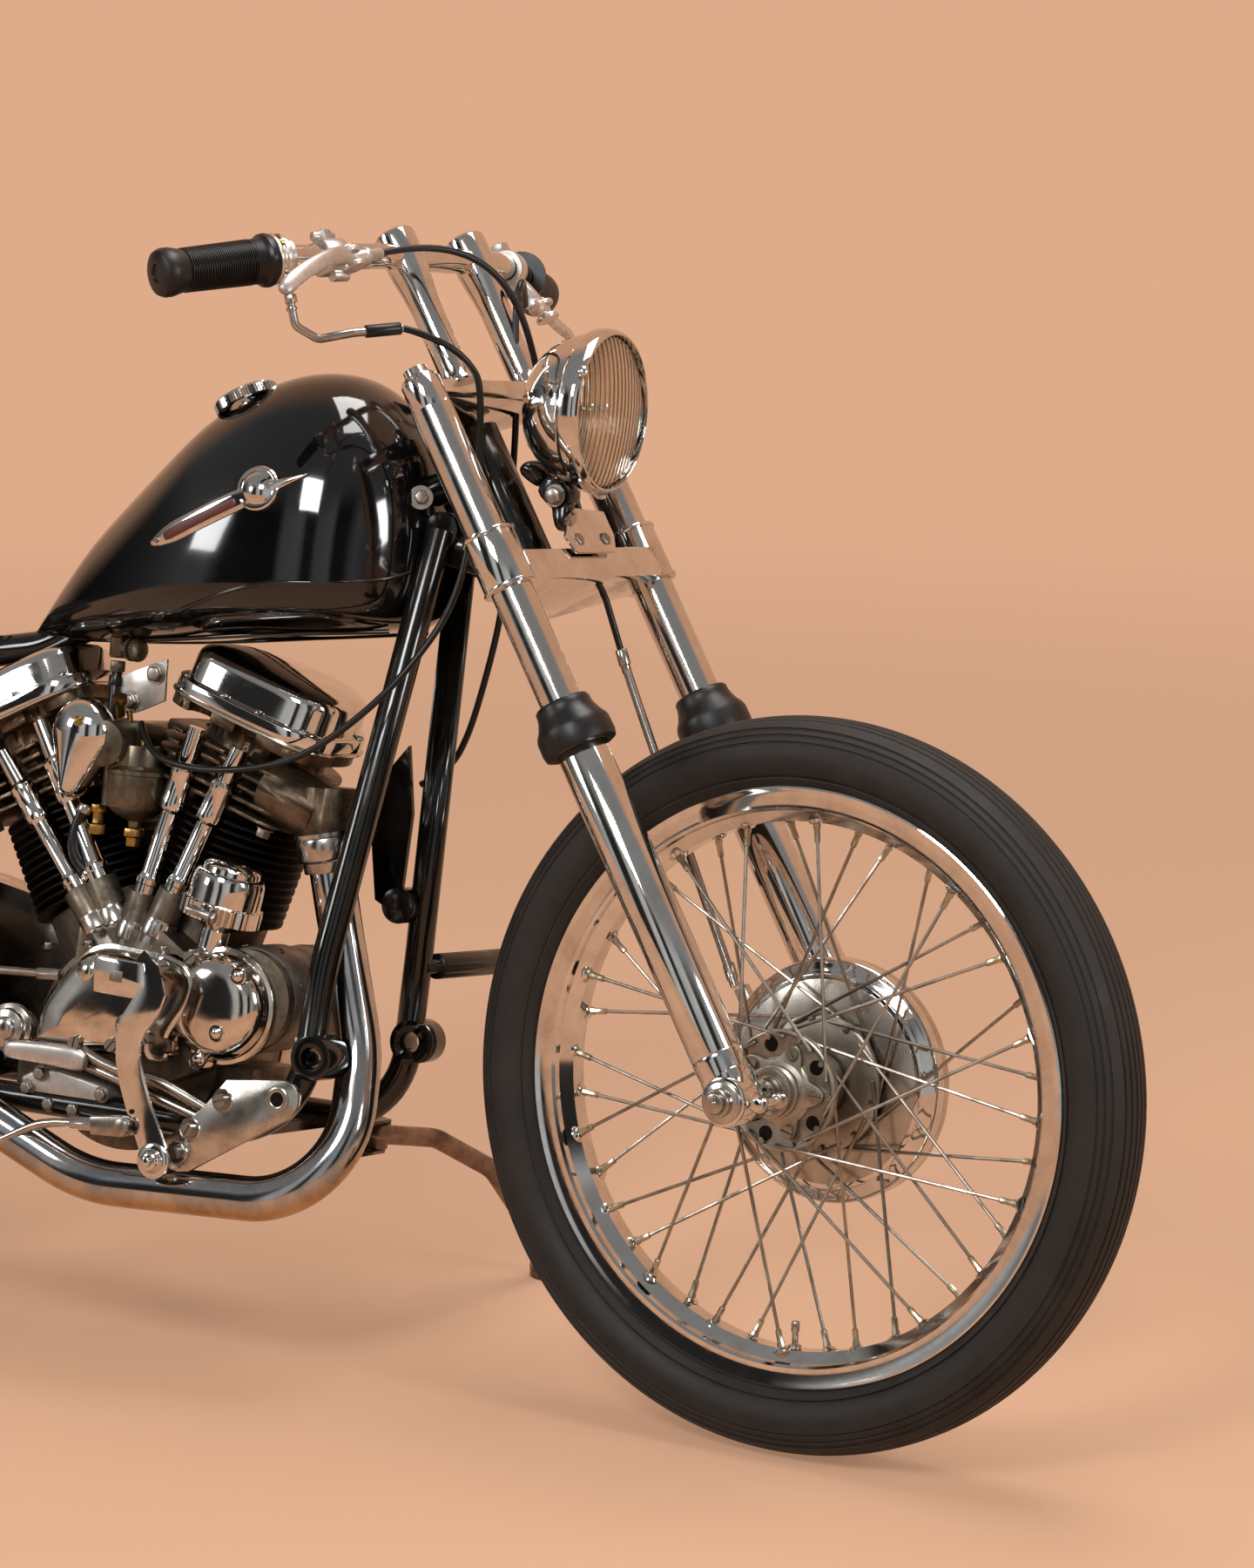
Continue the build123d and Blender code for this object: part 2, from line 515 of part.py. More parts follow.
pushrods = [  # bank, (foot x, y, z), (head x, y, z)
    (1, (795, -82, 431), (845, -76, 634)),
    (1, (827, -84, 437), (896, -76, 618)),
    (-1, (749, -84, 431), (618, -76, 586)),
    (-1, (767, -80, 441), (660, -76, 622)),
]
tube_solids, tappet_solids, tube_room = [], [], []
for bank, foot, top in pushrods:
    foot, top = Vector(*foot), Vector(*top)
    way = (top - foot).normalized()
    length = (top - foot).length
    profile = turned([(0, 26), (12, 26), (12, 52), (9.5, 54), (9.5, length * 0.62),
                      (12.5, length * 0.62), (12.5, length * 0.70), (8.2, length * 0.72),
                      (8.2, length + 20), (0, length + 20)])
    place = Plane(foot, z_dir=way).location
    tube_solids.append(place * profile)
    tappet_solids.append(place * Cylinder(16.0, 66, align=(Align.CENTER, Align.CENTER, Align.CENTER)))
    tube_room.append(rod(foot + way * 20, top + way * 60, 14.0))
for tappet in tappet_solids:
    crankcase += tappet
crankcase = less(crankcase, *tube_solids)
cam_cover = less(cam_cover, crankcase)


def cover_face(inset):
    half, near, middle, corner = cover_length / 2 - inset, inset - cover_half, -8.0, 30.0
    soft = corner * (1 - math.sqrt(0.5))
    sides = [Line((-half, middle), (-half, near + corner)),
             ThreePointArc((-half, near + corner), (-half + soft, near + soft), (-half + corner, near)),
             Line((-half + corner, near), (half - corner, near)),
             ThreePointArc((half - corner, near), (half - soft, near + soft), (half, near + corner)),
             Line((half, near + corner), (half, middle)),
             ThreePointArc((half, middle), (0, middle + half), (-half, middle))]
    return make_face(Curve() + sides)


cylinders, heads, rocker_covers = [], [], []
fin_count = int((head_height - deck_height - 6) / fin_pitch)
for bank in banks:
    barrel = Cylinder(cylinder_core, head_height - deck_height,
                      align=(Align.CENTER, Align.CENTER, Align.MIN))
    for index in range(fin_count):
        height = 6 + index * fin_pitch
        barrel += Pos(0, 0, height) * Cylinder(fin_radius, fin_thickness,
                                               align=(Align.CENTER, Align.CENTER, Align.MIN))
    barrel = bank_place(bank, deck_height) * barrel
    cylinders.append(less(barrel, *tube_room, crankcase, vee_wall(bank)))
    head_depth = cover_base - head_height
    head = Cylinder(62, head_depth, align=(Align.CENTER, Align.CENTER, Align.MIN))
    for index in range(5):
        fin = Pos(0, 0, 4 + index * 12) * extrude(cover_face(8), 3.4)
        head += fin
    head += Pos(0, 0, head_depth - 14) * extrude(cover_face(5), 14)
    head = bank_place(bank, head_height) * head
    heads.append(head)
    flange = extrude(cover_face(0), 14)
    upper = Pos(0, 0, 14) * extrude(cover_face(6), cover_height - 14)
    rocker_covers.append(less(bank_place(bank, cover_base) * (flange + upper), spine, post))

front_port = rod(along_bank(1, 300, 50, -50), (988, -56, 556), 30.0)
front_port += rod((988, -56, 586), (990, -55.6, 534), 28.0)
rear_port = rod(along_bank(-1, 300, -50, -50), along_bank(-1, 288, -112, -58), 30.0)
heads[0] = less(heads[0] + front_port, rocker_covers[0], cylinders[0])
heads[1] = less(heads[1] + rear_port, rocker_covers[1], cylinders[1])
intake_front = along_bank(1, 300, -60)
intake_rear = along_bank(-1, 300, 60)
intake_mid = (intake_front + intake_rear) * 0.5
for index in (0, 1):
    heads[index] = less(heads[index], *tube_room)

carb_body = rod(intake_front, intake_rear, 22.0)
carb_body += rod((intake_mid.X, 10, intake_mid.Z), (intake_mid.X, -112, intake_mid.Z), 23.0)
carb_body += rod((773, -70, 545), (773, -70, intake_mid.Z), 31.0)
carburettor = less(carb_body, *heads, *tube_room, *cylinders)
drop_place = Pos(intake_mid.X - 12, -112, intake_mid.Z + 2) * Rot(90, 0, 0)
drop = belt([(0, 16, 33), (10, -46, 12)], 0, 26)
air_cleaner = Pos(intake_mid.X - 12, -138, intake_mid.Z + 2) * drop

generator = disc(937, 372, 49, -crankcase_half, 86) + disc(937, 372, 40, 86, 96)
generator = less(generator, crankcase)
timer_way = Vector(math.sin(math.radians(12)), 0, math.cos(math.radians(12)))
timer_foot = Vector(888, -94, 398)
timer_place = Plane(timer_foot, z_dir=timer_way).location
timer = timer_place * turned([(0, 0), (14, 0), (14, 46), (36, 50), (38, 56), (38, 70), (35, 72),
                              (35, 96), (28, 108), (14, 114), (0, 115)])
timer = less(timer, crankcase, *cylinders, cam_cover, *heads)

front_pipe_route = [(990, -55.6, 536), (1008, -46, 450), (1046, -52, 330), (1072, -112, 186),
                    (790, -128, 176), (640, -148, 246), (440, -166, 296)]
front_pipe = pipe(front_pipe_route, [200, 160, 92, 160, 160], pipe_radius)
rear_port_end = along_bank(-1, 288, -112, -58)
rear_pipe_route = [rear_port_end, rear_port_end + Vector(-40, -12, -34), (500, -140, 400),
                   (452, -158, 306)]
rear_pipe = pipe(rear_pipe_route, [30, 60], pipe_radius)
rear_pipe = less(rear_pipe, front_pipe, heads[1])
front_pipe = less(front_pipe, heads[0])
muffler_start, muffler_end = Vector(440, -166, 296), Vector(-190, -186, 330)
muffler_way = (muffler_end - muffler_start).normalized()
muffler_length = (muffler_end - muffler_start).length
muffler = Plane(muffler_start, z_dir=muffler_way).location * turned(
    [(0, 0), (pipe_radius + 3, 0), (pipe_radius + 3, 24), (muffler_radius, 90),
     (muffler_radius, muffler_length - 70), (30, muffler_length - 8), (30, muffler_length),
     (24, muffler_length), (24, muffler_length - 120), (0, muffler_length - 120)])
muffler = less(muffler, front_pipe, rear_pipe)

# ---------------------------------------------------------------- gearbox and final drive
gearbox = Pos(gearbox_x, 0, 336) * Box(150, 150, 148)
gearbox = fillet(gearbox.edges().filter_by(Axis.Y), 26)
gearbox += disc(gearbox_x - 5, 330, 62, -75, -102)
gearbox += disc(gearbox_x, gearbox_z, 30, 75, primary_inner)
gearbox += disc(gearbox_x, gearbox_z, front_sprocket - 2, chain_y - 4, chain_y + 4)
gearbox = less(gearbox, post)
kick_hub = Vector(gearbox_x - 20, -102, 340)
kick = rod(kick_hub, kick_hub + Vector(0, -16, 0), 15.0)
kick += pipe([kick_hub + Vector(0, -10, 0), kick_hub + Vector(-30, -14, 90), kick_hub + Vector(-42, -30, 180)],
             [60], 8.0)
kick += rod(kick_hub + Vector(-42, -18, 180), kick_hub + Vector(-42, -110, 180), 12.0)
kick_starter = less(kick, gearbox, front_pipe, rear_pipe)
primary_cover = belt([(crank_x, crank_z, 72), (gearbox_x, gearbox_z, 106)], primary_inner,
                     primary_inner + primary_depth)
primary_cover += disc(gearbox_x, gearbox_z, 66, primary_inner + primary_depth,
                      primary_inner + primary_depth + 16)
sprockets = [(0, rear_axle_z), (gearbox_x, gearbox_z)]
chain_low, chain_high = chain_y - chain_width / 2, chain_y + chain_width / 2
chain = belt([(0, rear_axle_z, rear_sprocket + 1 + chain_band), (gearbox_x, gearbox_z, front_sprocket + chain_band)],
             chain_low, chain_high)
chain = chain - belt([(0, rear_axle_z, rear_sprocket + 1), (gearbox_x, gearbox_z, front_sprocket)],
                     chain_low - 1, chain_high + 1)
drive_chain = less(chain, left_side)

# ---------------------------------------------------------------- rear end
rear_axle = disc(0, rear_axle_z, axle_radius, -rear_half_gap - 24, rear_half_gap + 24)
rear_axle += disc(0, rear_axle_z, 17, rear_half_gap + 5, rear_half_gap + 17)
rear_axle += disc(0, rear_axle_z, 17, -rear_half_gap - 17, -rear_half_gap - 5)
rear_axle += disc(0, rear_axle_z, 15, -rear_half_gap + 5, -rear_hub_end - 0.3)
rear_axle += disc(0, rear_axle_z, 15, rear_drum_out - 11, rear_half_gap - 5)
rear_brake_plate = disc(0, rear_axle_z, 68, chain_y + 6, chain_y + 9)

fender_inner, fender_sheet, fender_half = 352.0, 3.0, 74.0
fender_ring = disc(0, rear_axle_z, fender_inner + fender_sheet, -fender_half, fender_half)
fender_ring -= disc(0, rear_axle_z, fender_inner, -fender_half + fender_sheet, fender_half - fender_sheet)
fender_ring -= disc(0, rear_axle_z, fender_inner - 50, -100, 100)
keep = slab([(0, rear_axle_z), (520, rear_axle_z + 250), (520, 1000), (-600, 1000), (-600, rear_axle_z + 30)],
            -100, 100)
rear_fender = fender_ring & keep
strut = rod((-14, rear_half_gap + 9, rear_axle_z + 24), (-190, rear_half_gap + 3, rear_axle_z + 216), 6.5)
strut += rod((-190, rear_half_gap + 3, rear_axle_z + 216), (-222, fender_half - 2, rear_axle_z + 262), 6.5)
strut = less(strut, dropout, disc(0, rear_axle_z, fender_inner + 1, 0, fender_half - 1))

seat_floor = 702.0
seat_outline = [(272, 0), (290, 100), (370, 132), (450, 96), (506, 44), (536, 26)]
seat_points = seat_outline + [(x, -y) for x, y in seat_outline[::-1] if y > 0]
seat_pan_face = make_face(Polyline(*seat_points, close=True))
seat_pan = Pos(0, 0, seat_floor) * extrude(seat_pan_face, 5)
cushion = Pos(0, 0, seat_floor + 5) * extrude(seat_pan_face, 34)
spring_y = 70.0
springs = [rod((336, side * spring_y, 564), (336, side * spring_y, seat_floor), 22.0) for side in (-1, 1)]
seat_bridge = rod((336, -106, 562), (336, 106, 562), 10.0)
seat_hinge = rod((518, 0, 684), (518, 0, seat_floor), 10.0)
for spring in springs:
    seat_pan += spring
seat_pan += seat_hinge
seat_pan += less(seat_bridge, stay, mirrored(stay))
seat_pan = less(seat_pan, spine)

oil_tank = Pos(396, 0, 430) * extrude(RectangleRounded(106, 180, 40), 154)
oil_tank = less(oil_tank, Pos(440, 0, 515) * Box(112, 78, 200), post, seat_pan)
battery = less(Pos(425, 0, 508) * Box(80, 76, 150), post)

tail_lamp_at = Vector(-352, 0, rear_axle_z + 90)
tail_lamp = Pos(*tail_lamp_at) * Rot(0, -90, 0) * turned([(0, -22), (34, -22), (36, 14), (28, 22), (0, 24)])
tail_lamp += Pos(-366, 0, rear_axle_z + 26) * Box(3, 180, 102)
tail_lamp = less(tail_lamp, disc(0, rear_axle_z, fender_inner + fender_sheet, -fender_half, fender_half))

# ---------------------------------------------------------------- foot controls
plate_y = 140.0
control_plate = slab([(1024, 300), (947, 296), (905, 240), (876, 200), (899, 198), (1024, 274)],
                     -plate_y, -plate_y - 6)
control_plate += disc(946, 278, 8, -rail_half_gap - 4, -plate_y)
control_plate += disc(1014, 286, 8, -rail_half_gap - 4, -plate_y)
control_plate += slab([(935, 246), (1022, 262), (1022, 300), (940, 290)], -118, -124)
pedal_in, pedal_out = -plate_y - 9, -plate_y - 24
control_plate += disc(886, 211, 12, -plate_y - 6, pedal_in + 0.3) + disc(886, 211, 5, -plate_y - 6, pedal_out - 3)
control_plate += disc(886, 211, 9, pedal_out - 0.3, pedal_out - 4)
control_plate = less(control_plate, right_side, front_pipe)
brake_pedal = pipe([(886, -158, 211), (842, -158, 290), (866, -158, 350), (850, -162, 392)],
                   [40, 30], 6.0)
brake_pedal += disc(886, 211, 13, pedal_in, pedal_out) + rod((850, -162, 392), (850, -196, 392), 11.0)
brake_pedal -= disc(886, 211, 5 + seat_gap, -plate_y, -200)
peg = rod((1030, rail_half_gap + 14, 408), (1030, rail_half_gap + 150, 408), 13.0)
peg += rod((1030, 92, 408), (1030, rail_half_gap + 16, 408), 7.0)
left_peg = less(peg, left_side)
booster = slab([(996, 628), (1006, 560), (1000, 456), (972, 470), (962, 530), (974, 600)], 84, 90)
booster += rod((1010, 92, 469), (1012, 60, 469), 18.0)
clutch_booster = less(booster, left_side, *heads, *cylinders, *rocker_covers)

# ---------------------------------------------------------------- side stand
stand_pivot, stand_knee, stand_bend = Vector(966, 138, 228), Vector(1000, 205, 224), Vector(1030, 280, 190)
foot_y = 385.0
ground_normal = Vector(0, -math.sin(lean_r), math.cos(lean_r))
stand_foot = Vector(1060, foot_y, foot_y * math.tan(lean_r))
foot_top = stand_foot + ground_normal * 12
side_stand = pipe([stand_pivot, stand_knee, stand_bend, foot_top], [50, 50], 10.0)
side_stand += Plane(stand_foot, z_dir=ground_normal).location * Cylinder(
    26, 12, align=(Align.CENTER, Align.CENTER, Align.MIN))
# the pin is square to the leg's first run, and swings the foot back beside the rail
stand_run = (stand_knee - stand_pivot).normalized()
stand_reach = (stand_foot - stand_pivot).normalized()
folded_reach = Vector(-0.935, 0.13, -0.33).normalized()
across = stand_run.cross(Vector(0, 0, 1)).normalized()
upright = across.cross(stand_run)
swing = stand_reach - folded_reach
pin_tilt = math.atan2(-upright.dot(swing), across.dot(swing))
stand_axis = upright * math.cos(pin_tilt) + across * math.sin(pin_tilt)


def square_to_pin(direction):
    return direction - stand_axis * stand_axis.dot(direction)


rest_arm, folded_arm = square_to_pin(stand_reach), square_to_pin(folded_reach)
stand_fold = math.degrees(math.atan2(stand_axis.dot(rest_arm.cross(folded_arm)), rest_arm.dot(folded_arm)))
stand_pin_half = 16.0
side_stand += rod(stand_pivot - stand_axis * 12, stand_pivot + stand_axis * 12, 15.0)
side_stand -= rod(stand_pivot - stand_axis * 40, stand_pivot + stand_axis * 40, 6 + play)
stand_pin = rod(stand_pivot - stand_axis * stand_pin_half, stand_pivot + stand_axis * stand_pin_half, 6.0)
stand_frame = Plane(stand_pivot, x_dir=(1, 0, 0), z_dir=stand_axis).location
for offset in (-15.3, 15.3):
    stand_pin += stand_frame * Pos(-4, -16, offset) * Box(30, 48, 5)
stand_bracket = less(stand_pin, side, crankcase)

# ---------------------------------------------------------------- cables
cable_radius = 3.2
throttle_run = [(1078.9, -46.5, 770), (1020, -112, 640), (960, -118, 604), (880, -118, 592), (812, -104, 612)]
throttle_cable = pipe(throttle_run, [50, 60, 80], cable_radius)
throttle_cable = less(throttle_cable, *heads, *rocker_covers, carburettor, right_side, *tube_solids)
brake_run = [cable_start, (70, -84, 872), (96, -40, 812), (30, 30, 742), (0, 62, 640),
             (-24, 82, 555), (-48, 93, 440), (-70, 88, 180), (-68, plate_out + 4, 128)]
brake_cable = pipe(brake_run, [40, 40, 40, 60, 60, 60, 25], cable_radius)
brake_cable = less(brake_cable, lower_tree, top_tree, risers.solids()[0], risers.solids()[1],
                   handlebar, hand_levers.solids()[0], hand_levers.solids()[1],
                   front_brake_plate)

# ---------------------------------------------------------------- the machine, upright
frame_nodes = {
    "frame_spine": less(frame_spine, left_side, right_side),
    "frame_left_side": left_side + stand_bracket,
    "frame_right_side": right_side,
    "frame_braces": Compound(children=[*stays.solids(), *cross_plates.solids()]),
    "fuel_tank": fuel_tank,
    "tank_caps": tank_caps,
    "fuel_tap": fuel_tap,
    "seat_cushion": cushion,
    "seat_pan": seat_pan,
    "rear_fender": rear_fender + strut + mirrored(strut),
    "oil_tank": oil_tank,
    "battery": battery,
    "crankcase": crankcase,
    "cam_cover": cam_cover,
    "cylinders": Compound(children=[barrel.solid() for barrel in cylinders]),
    "cylinder_heads": Compound(children=[head.solid() for head in heads]),
    "rocker_covers": Compound(children=[lid.solid() for lid in rocker_covers]),
    "pushrod_tubes": Compound(children=[less(tube, *heads, *rocker_covers).solid() for tube in tube_solids]),
    "timer": timer,
    "generator": generator,
    "carburettor": carburettor,
    "air_cleaner": air_cleaner,
    "exhaust_pipes": front_pipe + rear_pipe,
    "muffler": muffler,
    "primary_cover": primary_cover,
    "gearbox": gearbox + kick_starter,
    "drive_chain": drive_chain,
    "rear_axle": rear_axle + rear_brake_plate,
    "tail_lamp": tail_lamp,
    "control_plate": control_plate,
    "brake_pedal": brake_pedal,
    "left_foot_peg": left_peg,
    "clutch_booster": clutch_booster,
    "throttle_cable": throttle_cable,
}
fork_nodes = {
    "lower_tree": fork_place * lower_tree,
    "top_tree": fork_place * top_tree,
    "fork_tubes": fork_place * fork_tubes,
    "fork_boots": fork_place * fork_boots,
    "fork_sliders": fork_place * fork_sliders,
    "risers": fork_place * risers,
    "handlebar": fork_place * handlebar,
    "grips": fork_place * grips,
    "hand_levers": fork_place * hand_levers,
    "front_axle": fork_place * front_axle,
    "front_brake_plate": fork_place * front_brake_plate,
    "headlamp_shell": headlamp_shell,
    "headlamp_lens": headlamp_lens,
    "brake_cable": fork_place * brake_cable,
}
front_wheel_nodes = {
    "front_tyre": front_tyre_solid,
    "front_rim": front_rim_solid,
    "front_hub": front_hub_solid,
    "front_spokes": front_spokes,
}
rear_wheel_nodes = {
    "rear_tyre": rear_tyre_solid,
    "rear_rim": rear_rim_solid,
    "rear_hub": rear_hub_solid,
    "rear_spokes": rear_spokes,
}
stand_nodes = {"side_stand": side_stand}

# ---------------------------------------------------------------- parked
turn = Location(steering_at) * Location((0, 0, 0), tuple(fork_up), steer) * Location(steering_at).inverse()
leaning = Rot(-lean, 0, 0)
leaned = {}
for group, place in ((frame_nodes, leaning), (fork_nodes, leaning * turn),
                     (front_wheel_nodes, leaning * turn), (rear_wheel_nodes, leaning),
                     (stand_nodes, leaning)):
    for name, solid in group.items():
        leaned[name] = place * solid
box = Compound(children=[copy for node in leaned.values() for copy in node.solids()]).bounding_box()
to_origin = Pos(-box.center().X, -box.center().Y, -box.min.Z)
parked = {name: to_origin * solid for name, solid in leaned.items()}

if __name__ == "__main__":
    for name, solid in parked.items():
        export_step(solid, f"parts/{name}.step")
    print("box", box.size, "lowest", box.min.Z)
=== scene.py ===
import json
import math

import bpy
from mathutils import Matrix, Vector

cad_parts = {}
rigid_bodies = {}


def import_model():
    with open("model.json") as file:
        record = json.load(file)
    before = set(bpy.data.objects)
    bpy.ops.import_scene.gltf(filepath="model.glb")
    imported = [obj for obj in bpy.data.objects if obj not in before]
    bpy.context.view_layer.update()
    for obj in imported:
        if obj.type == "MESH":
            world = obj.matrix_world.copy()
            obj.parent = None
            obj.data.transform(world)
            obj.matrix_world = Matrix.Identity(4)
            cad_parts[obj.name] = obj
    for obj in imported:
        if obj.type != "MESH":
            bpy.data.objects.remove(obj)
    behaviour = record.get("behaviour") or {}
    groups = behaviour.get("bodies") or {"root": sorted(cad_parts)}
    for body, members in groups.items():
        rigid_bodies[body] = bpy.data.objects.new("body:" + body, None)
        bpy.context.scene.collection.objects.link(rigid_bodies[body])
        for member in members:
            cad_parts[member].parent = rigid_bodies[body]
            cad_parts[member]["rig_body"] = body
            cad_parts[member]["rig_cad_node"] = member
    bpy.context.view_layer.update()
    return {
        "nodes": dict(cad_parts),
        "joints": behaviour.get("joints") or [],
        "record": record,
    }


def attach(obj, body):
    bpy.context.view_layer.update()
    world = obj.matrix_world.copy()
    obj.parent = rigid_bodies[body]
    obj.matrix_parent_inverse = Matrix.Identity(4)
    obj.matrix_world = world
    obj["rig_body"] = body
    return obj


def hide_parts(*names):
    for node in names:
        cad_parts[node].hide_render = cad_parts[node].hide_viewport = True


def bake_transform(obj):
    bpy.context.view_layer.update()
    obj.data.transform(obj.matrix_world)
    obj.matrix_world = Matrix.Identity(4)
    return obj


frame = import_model()
nodes = frame["nodes"]
jointAt = {joint["name"]: Vector(joint["pos_m"]) for joint in frame["joints"]}
slotOf = {part["node"]: part["material_slot"] for part in frame["record"]["subparts"]}
print("frame loaded:", len(nodes), "solids")

# the machine's own upright frame, in millimetres: X forward from the rear axle, Z up
layout = {
    "lean": 11.0, "steer": -5.7, "rake": 31.9,      # degrees
    "rearAxleUp": 337.78, "legOffset": 45.1,        # mm
}
mm = 0.001
rightward = (0, -1, 0)
leanTurn = Matrix.Rotation(math.radians(-layout["lean"]), 4, "X")
rakeAngle = math.radians(layout["rake"])
forkUp = Vector((-math.sin(rakeAngle), 0, math.cos(rakeAngle)))
forkOut = Vector((math.cos(rakeAngle), 0, math.sin(rakeAngle)))
steerTurn = Matrix.Rotation(math.radians(layout["steer"]), 4, forkUp)
machineOrigin = jointAt["rear_wheel_spin"] - leanTurn.to_3x3() @ Vector((0, 0, layout["rearAxleUp"] * mm))
steeringAt = leanTurn.to_3x3().inverted() @ (jointAt["steering"] - machineOrigin)
frontAxleAt = steeringAt + forkOut * layout["legOffset"] * mm
frameMatrix = Matrix.Translation(machineOrigin) @ leanTurn @ Matrix.Scale(mm, 4)
turnedMatrix = (Matrix.Translation(machineOrigin) @ leanTurn @ Matrix.Translation(steeringAt) @ steerTurn
                @ Matrix.Translation(-steeringAt))
forkAxes = Matrix((forkOut, (0, 1, 0), forkUp)).transposed().to_4x4()
# fork: x away from the steering axis, y left, z up the legs from the axle
forkMatrix = turnedMatrix @ Matrix.Translation(frontAxleAt) @ forkAxes @ Matrix.Scale(mm, 4)
frontWheelMatrix = turnedMatrix @ Matrix.Translation(frontAxleAt) @ Matrix.Scale(mm, 4)
rearWheelMatrix = frameMatrix @ Matrix.Translation((0, 0, layout["rearAxleUp"]))
steeredMatrix = turnedMatrix @ Matrix.Scale(mm, 4)     # upright frame, carried by the fork

# camera, light and floor
camera = {"at": (3469.497, -4201.980, 1700.138), "yaw": 26.8398, "down": 12.7154, "roll": 0.0950,
          "lens": 118.335}                     # mm, with 36 mm on the tall side
lights = {  # name: (place, aim, size, watts, colour), in metres
    "keyLight": ((0.6, -3.6, 3.4), (0.3, 0, 0.5), (1.3, 1.1), 105, (1.0, 1.0, 1.0)),
    "topLight": ((0.9, 0.6, 3.9), (0.3, 0, 0.5), (2.2, 1.4), 90, (1.0, 1.0, 1.0)),
    "frontLight": ((4.2, -0.6, 1.9), (0.4, 0, 0.6), (0.7, 1.2), 50, (1.0, 1.0, 1.0)),
    "rearLight": ((-2.6, -3.0, 2.2), (0, 0, 0.5), (0.9, 1.0), 42, (1.0, 1.0, 1.0)),
}


def srgb(code):
    parts = [int(code[i:i + 2], 16) / 255 for i in (1, 3, 5)]
    return tuple(p / 12.92 if p <= 0.04045 else ((p + 0.055) / 1.055) ** 2.4 for p in parts) + (1.0,)


scene = bpy.context.scene
scene.view_settings.view_transform = "Standard"


def clearSelection():
    if bpy.context.object and bpy.context.object.mode != "OBJECT":
        bpy.ops.object.mode_set(mode="OBJECT")
    bpy.ops.object.select_all(action="DESELECT")


def addCamera():
    yaw, down, roll = (math.radians(camera[key]) for key in ("yaw", "down", "roll"))
    view = Vector((-math.sin(yaw) * math.cos(down), math.cos(yaw) * math.cos(down), -math.sin(down)))
    right = Vector((math.cos(yaw), math.sin(yaw), 0))
    up = right.cross(view)
    rightTurned = right * math.cos(roll) + up * math.sin(roll)
    upTurned = up * math.cos(roll) - right * math.sin(roll)
    data = bpy.data.cameras.new("viewCamera")
    data.sensor_fit, data.sensor_height, data.lens = "VERTICAL", 36.0, camera["lens"]
    data.clip_start, data.clip_end = 0.1, 60
    eye = bpy.data.objects.new("viewCamera", data)
    scene.collection.objects.link(eye)
    turn = Matrix((rightTurned, upTurned, -view)).transposed().to_4x4()
    # the camera was placed in millimetres about the leaned machine
    eye.matrix_world = Matrix.Translation(machineOrigin + Vector(camera["at"]) * mm) @ turn
    scene.camera = eye


def addLight(name, at, aim, size, watts, colour):
    data = bpy.data.lights.new(name, "AREA")
    data.shape, data.size, data.size_y, data.energy, data.color = "RECTANGLE", size[0], size[1], watts, colour
    lamp = bpy.data.objects.new(name, data)
    scene.collection.objects.link(lamp)
    lamp.location = at
    lamp.rotation_euler = (Vector(aim) - Vector(at)).to_track_quat("-Z", "Y").to_euler()


addCamera()
for name, row in lights.items():
    addLight(name, *row)

# materials
def addNode(tree, kind, settings=None, **links):
    node = tree.nodes.new(kind)
    for key, value in (settings or {}).items():
        if hasattr(node, key) and key not in node.inputs:
            setattr(node, key, value)
        else:
            node.inputs[key].default_value = value
    for key, source in links.items():
        tree.links.new(source, node.inputs[key.replace("_", " ")])
    return node


def newMaterial(name, colour, metallic=0.0, roughness=0.5, **sockets):
    material = bpy.data.materials.new(name)
    material.use_nodes = True
    shader = material.node_tree.nodes["Principled BSDF"]
    shader.inputs["Base Color"].default_value = srgb(colour)
    shader.inputs["Metallic"].default_value = metallic
    shader.inputs["Roughness"].default_value = roughness
    for key, value in sockets.items():
        shader.inputs[key.replace("_", " ")].default_value = value
    return material, material.node_tree, shader


def patternNoise(tree, size, detail=4.0, stretch=(1, 1, 1), rough=0.55):
    # size is the width of a blotch or grain in millimetres
    where = addNode(tree, "ShaderNodeTexCoord").outputs["Object"]
    placed = addNode(tree, "ShaderNodeMapping", {"Scale": stretch}, Vector=where)
    return addNode(tree, "ShaderNodeTexNoise", {"Scale": 1 / (size * mm), "Detail": detail, "Roughness": rough},
                   Vector=placed.outputs["Vector"]).outputs["Fac"]


def spread(tree, source, low, high, toLow, toHigh):
    return addNode(tree, "ShaderNodeMapRange", {"From Min": low, "From Max": high, "To Min": toLow, "To Max": toHigh},
                   Value=source).outputs["Result"]


def tint(tree, source, colours):
    # colours is a list of (place from 0 to 1, hex)
    ramp = addNode(tree, "ShaderNodeValToRGB", None, Fac=source)
    while len(ramp.color_ramp.elements) < len(colours):
        ramp.color_ramp.elements.new(0.5)
    for element, (place, code) in zip(ramp.color_ramp.elements, colours):
        element.position, element.color = place, srgb(code)
    return ramp.outputs["Color"]


def roughen(tree, shader, source, low, high, toLow, toHigh):
    tree.links.new(spread(tree, source, low, high, toLow, toHigh), shader.inputs["Roughness"])


def bumpWith(tree, shader, source, depth, strength=1.0):
    # depth in millimetres
    bump = addNode(tree, "ShaderNodeBump", {"Distance": depth * mm, "Strength": strength}, Height=source)
    tree.links.new(bump.outputs["Normal"], shader.inputs["Normal"])


